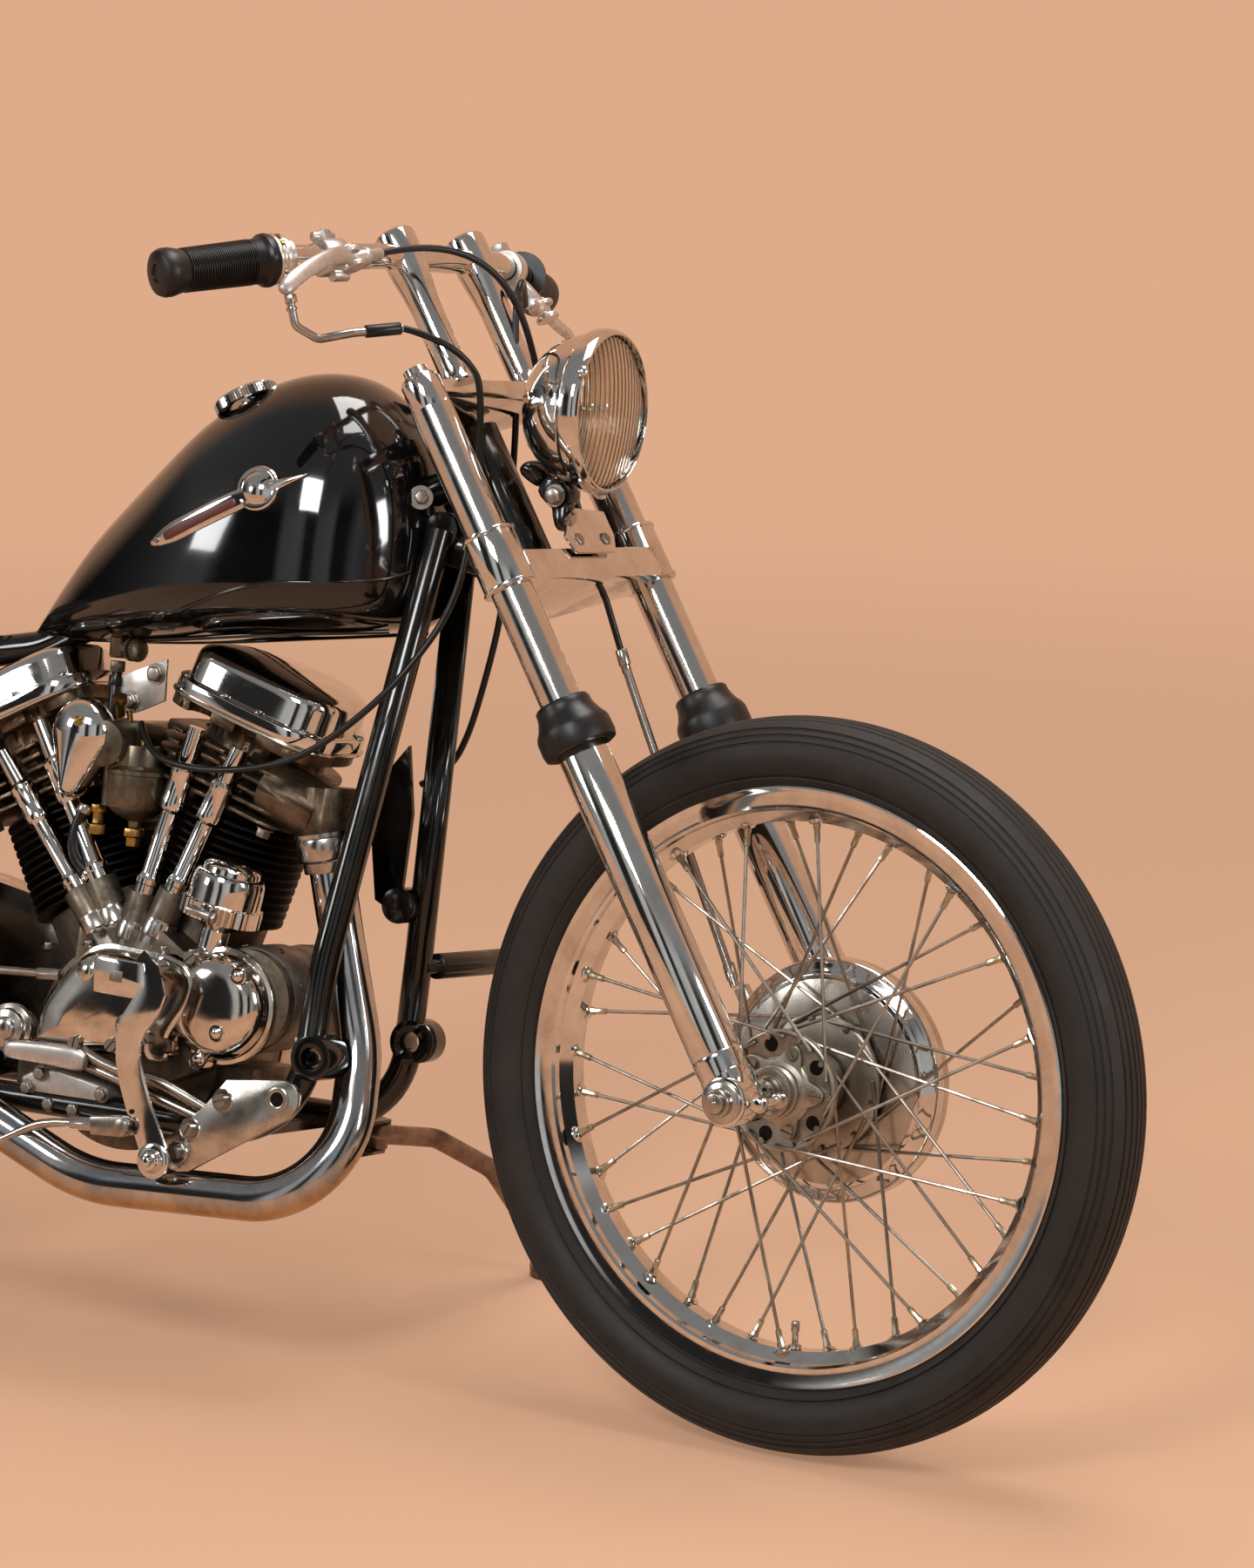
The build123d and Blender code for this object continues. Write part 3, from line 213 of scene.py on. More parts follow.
def enamelGlossBlack():
    # sprayed gloss enamel: near black and mirror-like, with a faint orange peel and a little dust
    material, tree, shader = newMaterial("enamelGlossBlack", "#060607", 0.0, 0.07, Coat_Weight=0.35,
                                         Coat_Roughness=0.03)
    dust = patternNoise(tree, 60, 5)
    tree.links.new(tint(tree, dust, [(0.3, "#050506"), (0.72, "#0d0c0c")]), shader.inputs["Base Color"])
    roughen(tree, shader, dust, 0.3, 0.75, 0.05, 0.13)
    bumpWith(tree, shader, patternNoise(tree, 7, 2), 0.012)
    return material


def enamelSatinBlack():
    # brushed-on black of the frame and brackets: glossy, with grime in patches
    material, tree, shader = newMaterial("enamelSatinBlack", "#0a0909", 0.0, 0.16)
    grime = patternNoise(tree, 45, 6)
    tree.links.new(tint(tree, grime, [(0.32, "#070706"), (0.7, "#16130f")]), shader.inputs["Base Color"])
    roughen(tree, shader, grime, 0.3, 0.72, 0.08, 0.22)
    bumpWith(tree, shader, patternNoise(tree, 5, 3), 0.02)
    return material


def chromePlated(name="chromePlated", shade="#D8D6D3", low=0.035, high=0.16, pits=0.0):
    # bright plate over polished steel: a cold mirror, dulled by haze and fine scratches
    material, tree, shader = newMaterial(name, shade, 1.0, low)
    haze = patternNoise(tree, 35, 7, rough=0.65)
    tree.links.new(tint(tree, haze, [(0.35, shade), (0.75, "#BDB7B0")]), shader.inputs["Base Color"])
    roughen(tree, shader, haze, 0.38, 0.78, low, high)
    speck = patternNoise(tree, 2.4, 8, rough=0.8)
    bumpWith(tree, shader, speck, 0.01 + pits)
    return material


def aluminiumPolished(name="aluminiumPolished", shade="#C8C2B9", stain="#ABA297", rough=(0.12, 0.3)):
    # buffed aluminium: softer and warmer than chrome, with grey stains
    material, tree, shader = newMaterial(name, shade, 1.0, rough[0])
    stains = patternNoise(tree, 30, 7, rough=0.62)
    tree.links.new(tint(tree, stains, [(0.4, shade), (0.72, stain)]), shader.inputs["Base Color"])
    roughen(tree, shader, stains, 0.35, 0.72, *rough)
    bumpWith(tree, shader, patternNoise(tree, 3, 6, rough=0.7), 0.03)
    return material


def castMetal(name, shade, stain, rough, grit=1.6, depth=0.12):
    # sand-cast skin: matt and grainy, darker where oil and soot have settled
    material, tree, shader = newMaterial(name, shade, 0.85, rough[0])
    stains = patternNoise(tree, 38, 8, rough=0.68)
    tree.links.new(tint(tree, stains, [(0.34, shade), (0.66, stain)]), shader.inputs["Base Color"])
    roughen(tree, shader, stains, 0.3, 0.7, *rough)
    bumpWith(tree, shader, patternNoise(tree, grit, 3, rough=0.6), depth)
    return material


def rubberMoulded(name, shade, dust, rough, grain=1.2, depth=0.05):
    # moulded rubber: matt, greyed by dust in patches
    material, tree, shader = newMaterial(name, shade, 0.0, rough[0], Specular_IOR_Level=0.35)
    bloom = patternNoise(tree, 50, 7, rough=0.65)
    tree.links.new(tint(tree, bloom, [(0.35, shade), (0.7, dust)]), shader.inputs["Base Color"])
    roughen(tree, shader, bloom, 0.3, 0.7, *rough)
    bumpWith(tree, shader, patternNoise(tree, grain, 3), depth)
    return material


def leatherGrained():
    # dyed hide with a pebbled grain about 2.5 mm across
    material, tree, shader = newMaterial("leatherGrained", "#14110f", 0.0, 0.45)
    where = addNode(tree, "ShaderNodeTexCoord").outputs["Object"]
    pebbles = addNode(tree, "ShaderNodeTexVoronoi", {"Scale": 1 / (2.5 * mm)}, Vector=where).outputs["Distance"]
    wear = patternNoise(tree, 80, 6)
    tree.links.new(tint(tree, wear, [(0.35, "#100d0c"), (0.72, "#2a221d")]), shader.inputs["Base Color"])
    roughen(tree, shader, wear, 0.3, 0.7, 0.34, 0.58)
    bumpWith(tree, shader, pebbles, 0.35, 0.8)
    return material


def chromeTemperTintAndFloorReflection():
    # plated exhaust tube: blue and grey temper colours in random patches, with a straw-brown painted reflection of
    # the peach floor on the side that faces down
    material, tree, shader = newMaterial("chromeTemperTintAndFloorReflection", "#C9C6C2", 1.0, 0.1)
    patches = patternNoise(tree, 70, 7, (1, 1, 0.6), 0.6)
    top = tint(tree, patches, [(0.3, "#CBCBCC"), (0.5, "#A9A7A6"), (0.6, "#8F97A1"), (0.74, "#C2BFBB")])
    # the straw-brown colours are a painted reflection of the peach floor, mixed in where the surface faces downwards
    floorReflectionTint = tint(tree, patches, [(0.3, "#C8AE8A"), (0.5, "#B7966A"), (0.64, "#8C6E50"), (0.8, "#D6C3A6")])
    facing = addNode(tree, "ShaderNodeSeparateXYZ", None,
        Vector=addNode(tree, "ShaderNodeNewGeometry").outputs["Normal"]).outputs["Z"]
    floorReflectionMix = addNode(tree, "ShaderNodeMix", {"data_type": "RGBA"})
    tree.links.new(spread(tree, facing, -0.05, -0.5, 0, 1), floorReflectionMix.inputs[0])
    tree.links.new(top, floorReflectionMix.inputs[6])
    tree.links.new(floorReflectionTint, floorReflectionMix.inputs[7])
    tree.links.new(floorReflectionMix.outputs[2], shader.inputs["Base Color"])
    roughen(tree, shader, patches, 0.3, 0.75, 0.06, 0.2)
    bumpWith(tree, shader, patternNoise(tree, 3, 7, rough=0.75), 0.02)
    return material


def plainGlass(name, colour, rough=0.02):
    return newMaterial(name, colour, 0.0, rough, Transmission_Weight=1.0)


def lensFluted():
    # pressed lamp glass with upright flutes 8 mm apart
    material, tree, shader = plainGlass("glassPressedFluted", "#F4F1EA", 0.03)
    where = addNode(tree, "ShaderNodeTexCoord").outputs["Object"]
    turned = addNode(tree, "ShaderNodeMapping", {"Rotation": (math.radians(layout["lean"]), 0, 0)}, Vector=where)
    flutes = addNode(tree, "ShaderNodeTexWave", {"bands_direction": "Y", "Scale": math.pi / 10 / (8 * mm)},
                     Vector=turned.outputs["Vector"]).outputs["Fac"]
    bumpWith(tree, shader, flutes, 0.5, 1.0)
    return material


finishes = {
    "gloss_black": enamelGlossBlack(),
    "satinBlack": enamelSatinBlack(),
    "chrome": chromePlated(),
    "chromeWorn": chromePlated("chromePlatedPitted", "#D2CFCB", 0.05, 0.24, 0.03),
    "polished_aluminium": aluminiumPolished(),
    "castAluminiumBright": castMetal("aluminiumSandCastRubbed", "#D2CEC9", "#958E86", (0.26, 0.46), 1.2, 0.05),
    "cast_aluminium": castMetal("aluminiumCastOily", "#776C5E", "#362E26", (0.32, 0.6)),
    "generatorGrey": castMetal("aluminiumCastGrey", "#8E877F", "#5A5349", (0.36, 0.58), 1.2, 0.08),
    "headBrown": castMetal("aluminiumCastBaked", "#6E5D4B", "#2A2119", (0.3, 0.55), 2.0, 0.12),
    "black_iron": castMetal("ironStoveBlack", "#1c1815", "#0b0908", (0.42, 0.68), 1.8, 0.12),
    "bare_steel": aluminiumPolished("steelZincDull", "#A19B92", "#6C655B", (0.26, 0.48)),
    "brass": aluminiumPolished("brassAged", "#B08A4C", "#6E5430", (0.24, 0.46)),
    "exhaust": chromeTemperTintAndFloorReflection(),
    "tyre_rubber": rubberMoulded("rubberTyreMoulded", "#151312", "#28231f", (0.5, 0.8)),
    "grip_rubber": rubberMoulded("rubberMouldedBlack", "#080707", "#151312", (0.3, 0.5)),
    "cable_sheath": rubberMoulded("vinylExtrudedBlack", "#0a0a0a", "#151414", (0.26, 0.42), 0.8, 0.02),
    "seat_leather": leatherGrained(),
    "lens_glass": lensFluted(),
    "chainSteel": aluminiumPolished("steelRolledOiled", "#7D766C", "#3D372F", (0.28, 0.5)),
    "polishedCase": aluminiumPolished("aluminiumBuffedBright", "#D2CCC4", "#A89E92", (0.05, 0.18)),
    "steelPaintWorn": castMetal("steelPaintWornThrough", "#A08878", "#5E4A40", (0.4, 0.62), 1.2, 0.05),
    "brassNickelOily": castMetal("brassNickelledOily", "#766C5B", "#383024", (0.22, 0.44), 2.4, 0.06),
    "enamelOxblood": newMaterial("enamelOxbloodWorn", "#4A1512", 0.0, 0.4)[0],
    "polishedSteel": aluminiumPolished("steelTurnedBright", "#B9B4AD", "#837B70", (0.14, 0.34)),
    "mirrorSilvered": newMaterial("glassSilvered", "#D9D4CC", 1.0, 0.12)[0],
    "redLens": plainGlass("acrylicRed", "#A01410", 0.08)[0],
    "plateWhite": newMaterial("enamelWhitePlate", "#C9C6BE", 0.0, 0.4)[0],
}


def paperFloor():
    # matt paper; far from the machine it glows at its own tone, so that floor and air meet without a line
    material, tree, shader = newMaterial("paperPeachMatt", backdrop["base"], 0.0, 0.95, Specular_IOR_Level=0.0)
    where = addNode(tree, "ShaderNodeTexCoord").outputs["Object"]
    away = addNode(tree, "ShaderNodeVectorMath", {"operation": "LENGTH"}, Vector=where).outputs["Value"]
    fade = spread(tree, away, *backdrop["fade"], 0, 1)
    tree.links.new(tint(tree, fade, [(0.0, backdrop["base"]), (1.0, "#000000")]), shader.inputs["Base Color"])
    tree.links.new(spread(tree, fade, 0, 1, backdrop["glow"], 1.0), shader.inputs["Emission Strength"])
    shader.inputs["Emission Color"].default_value = srgb(backdrop["colour"])
    return material


backdrop = {"colour": "#DEAC8B", "base": "#A5826A", "glow": 0.41, "fade": (1.6, 4.6), "half": 90.0}      # metres


def addBackdrop():
    clearSelection()
    bpy.ops.mesh.primitive_circle_add(vertices=64, radius=backdrop["half"], fill_type="NGON")
    sheet = bpy.context.object
    sheet.name = "floorSheet"
    sheet.data.materials.append(paperFloor())


def addWorld():
    world = bpy.data.worlds.new("studioWorld")
    scene.world = world
    world.use_nodes = True
    tree = world.node_tree
    back = tree.nodes["Background"]
    rays = addNode(tree, "ShaderNodeLightPath").outputs
    away = addNode(tree, "ShaderNodeSeparateXYZ", None,
                   Vector=addNode(tree, "ShaderNodeTexCoord").outputs["Generated"]).outputs
    # the near side of the studio: bright screens between dark gaps, for metal to show
    screens = tint(tree, spread(tree, away["X"], -1, 1, 0, 1), [(0.0, "#1a1a1a"), (0.1, "#9c9c9c"), (0.18, "#b8b8b8"),
        (0.22, "#262626"), (0.36, "#2c2c2c"), (0.4, "#bdbdbd"), (0.5, "#d0d0d0"), (0.54, "#262626"), (0.6, "#303030"),
        (0.64, "#b4b4b4"), (0.78, "#cccccc"), (0.82, "#242424"), (0.88, "#343434"), (0.92, "#b4b4b4"),
        (1.0, "#5a5a5a")])
    ceiling = addNode(tree, "ShaderNodeMix", {"data_type": "RGBA"})
    tree.links.new(spread(tree, away["Z"], 0.42, 0.6, 0, 1), ceiling.inputs[0])
    tree.links.new(screens, ceiling.inputs[6])
    ceiling.inputs[7].default_value = srgb("#909090")
    # the paper is seen behind and above
    nearFar = addNode(tree, "ShaderNodeMix", {"data_type": "RGBA"})
    tree.links.new(spread(tree, away["Y"], 0.0, 0.3, 0, 1), nearFar.inputs[0])
    tree.links.new(ceiling.outputs[2], nearFar.inputs[6])
    nearFar.inputs[7].default_value = srgb(backdrop["colour"])
    room = nearFar.outputs[2]
    shown = addNode(tree, "ShaderNodeMix", {"data_type": "RGBA"})
    tree.links.new(rays["Is Camera Ray"], shown.inputs[0])
    tree.links.new(room, shown.inputs[6])
    shown.inputs[7].default_value = srgb(backdrop["colour"])
    soft = addNode(tree, "ShaderNodeMix", {"data_type": "RGBA"})
    tree.links.new(rays["Is Diffuse Ray"], soft.inputs[0])
    tree.links.new(shown.outputs[2], soft.inputs[6])
    soft.inputs[7].default_value = srgb("#8F8983")
    tree.links.new(soft.outputs[2], back.inputs["Color"])
    back.inputs["Strength"].default_value = 1.0


addBackdrop()
addWorld()
print("studio ready")


# ways of shaping, in millimetres
def pickOnly(piece):
    clearSelection()
    piece.select_set(True)
    bpy.context.view_layer.objects.active = piece


def edit(piece):
    bpy.context.view_layer.objects.active = piece
    bpy.ops.object.mode_set(mode="EDIT")


def leaveEdit():
    bpy.ops.object.mode_set(mode="OBJECT")


def faceOutward():
    bpy.ops.mesh.select_all(action="SELECT")
    bpy.ops.mesh.normals_make_consistent(inside=False)
    leaveEdit()


def ringPiece(name, count, fill="NOTHING"):
    clearSelection()
    bpy.ops.mesh.primitive_circle_add(vertices=count, radius=1, fill_type=fill)
    piece = bpy.context.object
    piece.name = piece.data.name = name
    return piece


def smoothed(piece, angle=35):
    pickOnly(piece)
    bpy.ops.object.shade_smooth_by_angle(angle=math.radians(angle))
    return piece


def bevelled(piece, width, segments=2, angle=35):
    edge = piece.modifiers.new("edge", "BEVEL")
    edge.width, edge.segments, edge.limit_method, edge.angle_limit = width, segments, "ANGLE", math.radians(angle)
    edge.harden_normals = False
    applyAll(piece)
    return piece


def applyAll(piece):
    pickOnly(piece)
    for modifier in list(piece.modifiers):
        bpy.ops.object.modifier_apply(modifier=modifier.name)
    return piece


def turned(name, rows, steps=64, bevel=0.0):
    # a closed section of (radius, height) rows, spun about Z
    piece = ringPiece(name, len(rows))
    for v, (radius, height) in zip(piece.data.vertices, rows):
        v.co = (radius, 0, height)
    edit(piece)
    bpy.ops.mesh.select_all(action="SELECT")
    bpy.ops.mesh.spin(steps=steps, angle=2 * math.pi, center=(0, 0, 0), axis=(0, 0, 1))
    bpy.ops.mesh.select_all(action="SELECT")
    bpy.ops.mesh.remove_doubles(threshold=0.01)
    bpy.ops.mesh.delete_loose()
    faceOutward()
    return bevelled(piece, bevel) if bevel else piece


def plate(name, outline, low, high, bevel=1.0, segments=2):
    # a flat piece of (x, y) points between two heights
    piece = ringPiece(name, len(outline), "NGON")
    for v, (x, y) in zip(piece.data.vertices, outline):
        v.co = (x, y, low)
    edit(piece)
    bpy.ops.mesh.select_all(action="SELECT")
    bpy.ops.mesh.extrude_region_move(TRANSFORM_OT_translate={"value": (0, 0, high - low)})
    faceOutward()
    return bevelled(piece, bevel, segments) if bevel else piece


def joined(name, parts):
    clearSelection()
    for part in parts:
        part.select_set(True)
    bpy.context.view_layer.objects.active = parts[0]
    if len(parts) > 1:
        bpy.ops.object.join()
    parts[0].name = parts[0].data.name = name
    return parts[0]


def copied(piece, *moves):
    # the first move is made on the piece itself, the others on copies with their own mesh
    copies = []
    for move in moves[1:]:
        twin = piece.copy()
        twin.data = piece.data.copy()
        scene.collection.objects.link(twin)
        twin.data.transform(move)
        copies.append(twin)
    piece.data.transform(moves[0])
    return [piece] + copies


def moved(piece, matrix):
    piece.data.transform(matrix)
    if matrix.determinant() < 0:
        piece.data.flip_normals()
    return piece


def standing(at, way, turn=0.0):
    # a place whose Z runs along way
    spin = Matrix.Rotation(turn, 4, "Z")
    return Matrix.Translation(Vector(at)) @ Vector(way).to_track_quat("Z", "Y").to_matrix().to_4x4() @ spin


def asMesh(piece):
    pickOnly(piece)
    bpy.ops.object.convert(target="MESH")
    return bpy.context.object


def swept(name, points, radius, steps, smooth=None):
    # a capped round tube along straight runs, or along a smooth line
    data = bpy.data.curves.new(name, "CURVE")
    data.dimensions, data.bevel_depth, data.bevel_resolution, data.use_fill_caps = "3D", radius, steps // 4, True
    line = data.splines.new("NURBS" if smooth else "POLY")
    line.points.add(len(points) - 1)
    for point, at in zip(line.points, points):
        point.co = (*at, 1)
    if smooth:
        line.order_u, line.use_endpoint_u, line.resolution_u = 4, True, smooth
    piece = bpy.data.objects.new(name, data)
    scene.collection.objects.link(piece)
    return asMesh(piece)


def tubeAlong(name, points, radius, steps=20, smooth=6):
    return swept(name, points, radius, steps, smooth)


def bentTube(name, points, radii, radius, steps=24):
    # straight runs with rounded corners, as a tube bender makes
    line = [Vector(points[0])]
    for before, corner, after, bend in zip(points, points[1:], points[2:], radii):
        before, corner, after = Vector(before), Vector(corner), Vector(after)
        a, b = (before - corner).normalized(), (after - corner).normalized()
        half = a.angle(b) / 2
        reach = bend / math.tan(half)
        centre = corner + (a + b).normalized() * (bend / math.sin(half))
        start = corner + a * reach
        axis = (start - centre).cross(corner + b * reach - centre)
        sweep = math.pi - 2 * half
        count = max(3, int(math.degrees(sweep) / 5))
        for index in range(count + 1):
            line.append(centre + Matrix.Rotation(sweep * index / count, 3, axis) @ (start - centre))
    line.append(Vector(points[-1]))
    return swept(name, line, radius, steps)


def rodBetween(name, start, end, radius, steps=24, bevel=0.0):
    start, end = Vector(start), Vector(end)
    length = (end - start).length
    piece = turned(name, [(0, 0), (radius, 0), (radius, length), (0, length)], steps, bevel)
    return moved(piece, standing(start, end - start))


def settle(piece, body, finish, place=None, node=(), slot=None, angle=35):
    # into the row's frame, in metres, at rest on its body
    if place is None:
        place = places[body]
    piece.data.transform(place)
    piece.matrix_world = Matrix.Identity(4)
    smoothed(piece, angle)
    piece.data.materials.clear()
    piece.data.materials.append(finishes[finish])
    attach(piece, body)
    nodesFor = (node,) if isinstance(node, str) else tuple(node)
    if nodesFor:
        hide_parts(*nodesFor)
    if slot is None:
        slot = slotOf[nodesFor[0]] if nodesFor else (finish if finish in slotNames else None)
    return piece


slotNames = [m["slot"] for m in frame["record"]["materials"]]
places = {"frame": frameMatrix, "fork": forkMatrix, "front_wheel": frontWheelMatrix,
          "rear_wheel": rearWheelMatrix, "side_stand": frameMatrix}


def refined(node, finish, bevel=0.6, angle=35):
    # a copy of the solid with merged corners and eased edges
    source = nodes[node]
    piece = source.copy()
    piece.data = source.data.copy()
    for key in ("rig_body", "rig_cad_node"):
        if key in piece:
            del piece[key]
    piece.parent = None
    scene.collection.objects.link(piece)
    piece.name = piece.data.name = node + "Dressed"
    body = source["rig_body"]
    edit(piece)
    bpy.ops.mesh.select_all(action="SELECT")
    bpy.ops.mesh.remove_doubles(threshold=0.00002)
    bpy.ops.mesh.tris_convert_to_quads(face_threshold=0.2, shape_threshold=0.7)
    leaveEdit()
    if bevel:
        bevelled(piece, bevel * mm, 2, angle)
    return settle(piece, body, finish, Matrix.Identity(4), node, slotOf[node], angle)

# wheels

def screwMaster(name="screwMaster", head=5.2, rise=3.4, slot=1.3):
    # a cheese-head screw standing on z = 0, its slot sunk between two cuts
    clearSelection()
    bpy.ops.mesh.primitive_cylinder_add(vertices=20, radius=head, depth=rise, location=(0, 0, 0))
    piece = bpy.context.object
    piece.name = name
    piece.data.transform(Matrix.Translation((0, 0, rise / 2)))
    edit(piece)
    for side in (-slot / 2, slot / 2):
        bpy.ops.mesh.select_all(action="SELECT")
        bpy.ops.mesh.bisect(plane_co=(0, side, 0), plane_no=(0, 1, 0))
    leaveEdit()
    for face in piece.data.polygons:
        face.select = face.normal.z > 0.9 and abs(face.center.y) < slot / 2
    edit(piece)
    bpy.ops.mesh.select_mode(type="FACE")
    bpy.ops.mesh.extrude_region_move(TRANSFORM_OT_translate={"value": (0, 0, -rise * 0.55)})
    leaveEdit()
    return bevelled(piece, 0.35, 1, 60)


def boltMaster(name="boltMaster", across=6.0, rise=5.0, washer=8.0):
    # a hexagon head on a washer, standing on z = 0
    head = turned(name, [(0, 1.2), (across, 1.2), (across, rise), (across * 0.8, rise + 1), (0, rise + 1)], 6, 0.4)
    ring = turned(name + "Ring", [(0, 0), (washer, 0), (washer, 1.2), (0, 1.2)], 20)
    return joined(name, [head, ring])


frontWheel = {"radius": 351.0, "crownHalf": 27.0, "shoulder": 345.0, "widest": 312.0, "half": 43.0, "bead": 266.7,
    "rimHalf": 23.5, "grooves": (4.2, 12.6, 20.6), "grooveDepth": 2.4, "ridges": ((33.5, 339.5), (37.3, 333.5),
    (40.2, 327.0)), "rightFlange": 41.0, "rightRing": 52.0, "leftFlange": 27.0, "leftRing": 62.0, "lead": (72, 72),
    "oddStand": (7.3, 7.3), "rimInner": 251.0, "valve": 272.0, "spokeOut": 7.0,}
rearWheel = {"radius": 336.0, "crownHalf": 48.0, "shoulder": 323.0, "widest": 269.0, "half": 65.0, "bead": 203.2,
    "rimHalf": 38.0, "grooves": (6.0, 19.0, 33.0), "grooveDepth": 4.0, "ridges": ((52.5, 314.0), (57.5, 304.0),
    (61.5, 293.0)), "rightFlange": 48.0, "rightRing": 52.0, "leftFlange": 50.0, "leftRing": 96.0, "lead": (72, 54),
    "oddStand": (8.3, -10.3), "rimInner": 186.9, "valve": 250.0, "spokeOut": 10.0,}
onAxle = Matrix.Rotation(math.radians(-90), 4, "X")        # turned pieces: their Z becomes the wheel's Y


def crownRise(wheel, y):
    drop = wheel["radius"] - wheel["shoulder"]
    arc = (wheel["crownHalf"] ** 2 + drop ** 2) / (2 * drop)
    return wheel["radius"] - arc + math.sqrt(arc * arc - y * y)


def tyreSection(wheel):
    # right half from the middle of the tread down to the bead, as (radius, y)
    deep, right = wheel["grooveDepth"], []
    right.append((crownRise(wheel, 0), 0))
    for y in wheel["grooves"]:
        right += [(crownRise(wheel, y - 1.5), y - 1.5), (crownRise(wheel, y) - deep, y - 0.7),
                  (crownRise(wheel, y) - deep, y + 0.7), (crownRise(wheel, y + 1.5), y + 1.5)]
    right.append((wheel["shoulder"], wheel["crownHalf"]))
    for y, radius in wheel["ridges"]:
        right += [(radius + 1.6, y - 0.6), (radius + 0.5, y - 1.5), (radius - 0.5, y - 1.2), (radius - 1.4, y + 0.6)]
    span = wheel["widest"] - wheel["bead"] - 18
    for step in range(1, 9):
        share = step / 8
        radius = wheel["widest"] + 8 - (span + 8) * share
        bulge = wheel["half"] - (wheel["half"] - wheel["rimHalf"] - 1.5) * max(0, share - 0.12) ** 2.1 / 0.88 ** 2.1
        if step == 6:
            right += [(radius + 1.5, bulge), (radius + 0.6, bulge + 1.3), (radius - 0.6, bulge + 1.3),
                (radius - 1.5, bulge)]
        else:
            right.append((radius, bulge))
    right += [(wheel["bead"] + 16, wheel["rimHalf"] - 0.4), (wheel["bead"] + 0.3, wheel["rimHalf"] - 0.4)]
    return right + [(r, -y) for r, y in right[:0:-1]]


def rimSection(wheel):
    half, bead = wheel["rimHalf"], wheel["bead"]
    outer = [(bead + 17.8, half + 0.2), (bead + 1, half + 0.2), (bead, half - 7), (bead - 11, half - 15),
        (bead - 11.4, 0)]
    inner = [(bead - 15.4, 0), (bead - 15, half - 14), (bead - 4.5, half - 5), (bead - 3.6, half + 1),
        (bead - 1, half + 3.6), (bead + 10, half + 3.4), (bead + 14, half + 4.6), (bead + 17, half + 5.4),
        (bead + 18.8, half + 4.6), (bead + 19.4, half + 2.8), (bead + 18.8, half + 0.8)]
    closed = outer + inner
    return closed[:4] + [(r, -y) for r, y in closed[3::-1]] + [(r, -y) for r, y in inner[:0:-1]] + inner[1:]


def spokeEnds(wheel):
    # leading and trailing rows in turn; the nipples come out evenly spaced round the rim
    for sign, side, lead, oddStand in zip((-1, 1), ("right", "left"), wheel["lead"], wheel["oddStand"]):
        flange, ring = wheel[side + "Flange"], wheel[side + "Ring"]
        rows = {0: flange - 5.3, 1: flange + oddStand}
        for index in range(20):
            hubAngle = math.radians(index * 18 + (9 if sign > 0 else 0))
            rimAngle = hubAngle + math.radians(lead) * (1 if index % 2 else -1)
            hubY, rimY = rows[index % 2], wheel["spokeOut"] + (2.5 if rows[index % 2] == max(rows.values()) else -2.5)
            start = Vector((ring * math.cos(hubAngle), sign * hubY, ring * math.sin(hubAngle)))
            end = Vector((wheel["rimInner"] * math.cos(rimAngle), sign * rimY,
                wheel["rimInner"] * math.sin(rimAngle)))
            yield sign, flange, start, end


def lacedSpokes(name, wheel, place, body, node):
    nipple, rods, elbows = [], [], []
    for sign, flange, start, end in spokeEnds(wheel):
        nipple.append(standing(end, start - end))
        length = (end - start).length
        clearSelection()
        bpy.ops.mesh.primitive_cylinder_add(vertices=8, radius=1.75, depth=length, end_fill_type="NOTHING")
        rod = bpy.context.object
        rod.data.transform(Matrix.Translation((0, 0, length / 2)))
        rods.append(moved(rod, standing(start, end - start)))
        # the bend goes through the flange and ends in a head behind it
        through = Vector((start.x, sign * (flange - 4.6 if abs(start.y) > flange else flange + 4.6), start.z))
        deep = (through - start).length
        stub = turned("elbow", [(0, 0), (1.75, 0), (1.75, deep), (3.3, deep), (3.0, deep + 1.6), (0, deep + 2.2)], 8)
        elbows.append(moved(stub, standing(start, through - start)))
        clearSelection()
        bpy.ops.mesh.primitive_uv_sphere_add(segments=8, ring_count=6, radius=1.8, location=(0, 0, 0))
        elbows.append(moved(bpy.context.object, Matrix.Translation(start)))
    master = turned("nipple", [(0, -2.5), (4.6, -2.5), (4.0, 0), (3.8, 5), (3.1, 6), (3.1, 17.5), (2.2, 18.5),
        (0, 18.5)], 8)
    nipples = copied(master, *nipple)
    seat = turned("nippleSeat", [(0, -3), (9.0, -2.6), (6.5, 0.6), (4.4, 1.6), (0, 1.6)], 12)
    seats = copied(seat, *nipple)
    spokes = joined(name, rods + elbows)
    settle(spokes, body, "bare_steel", place, node)
    nippleSet = joined(name + "Nipples", nipples)
    settle(nippleSet, body, "nippleSteel", place, slot="bare_steel")
    return joined(name + "Seats", seats)


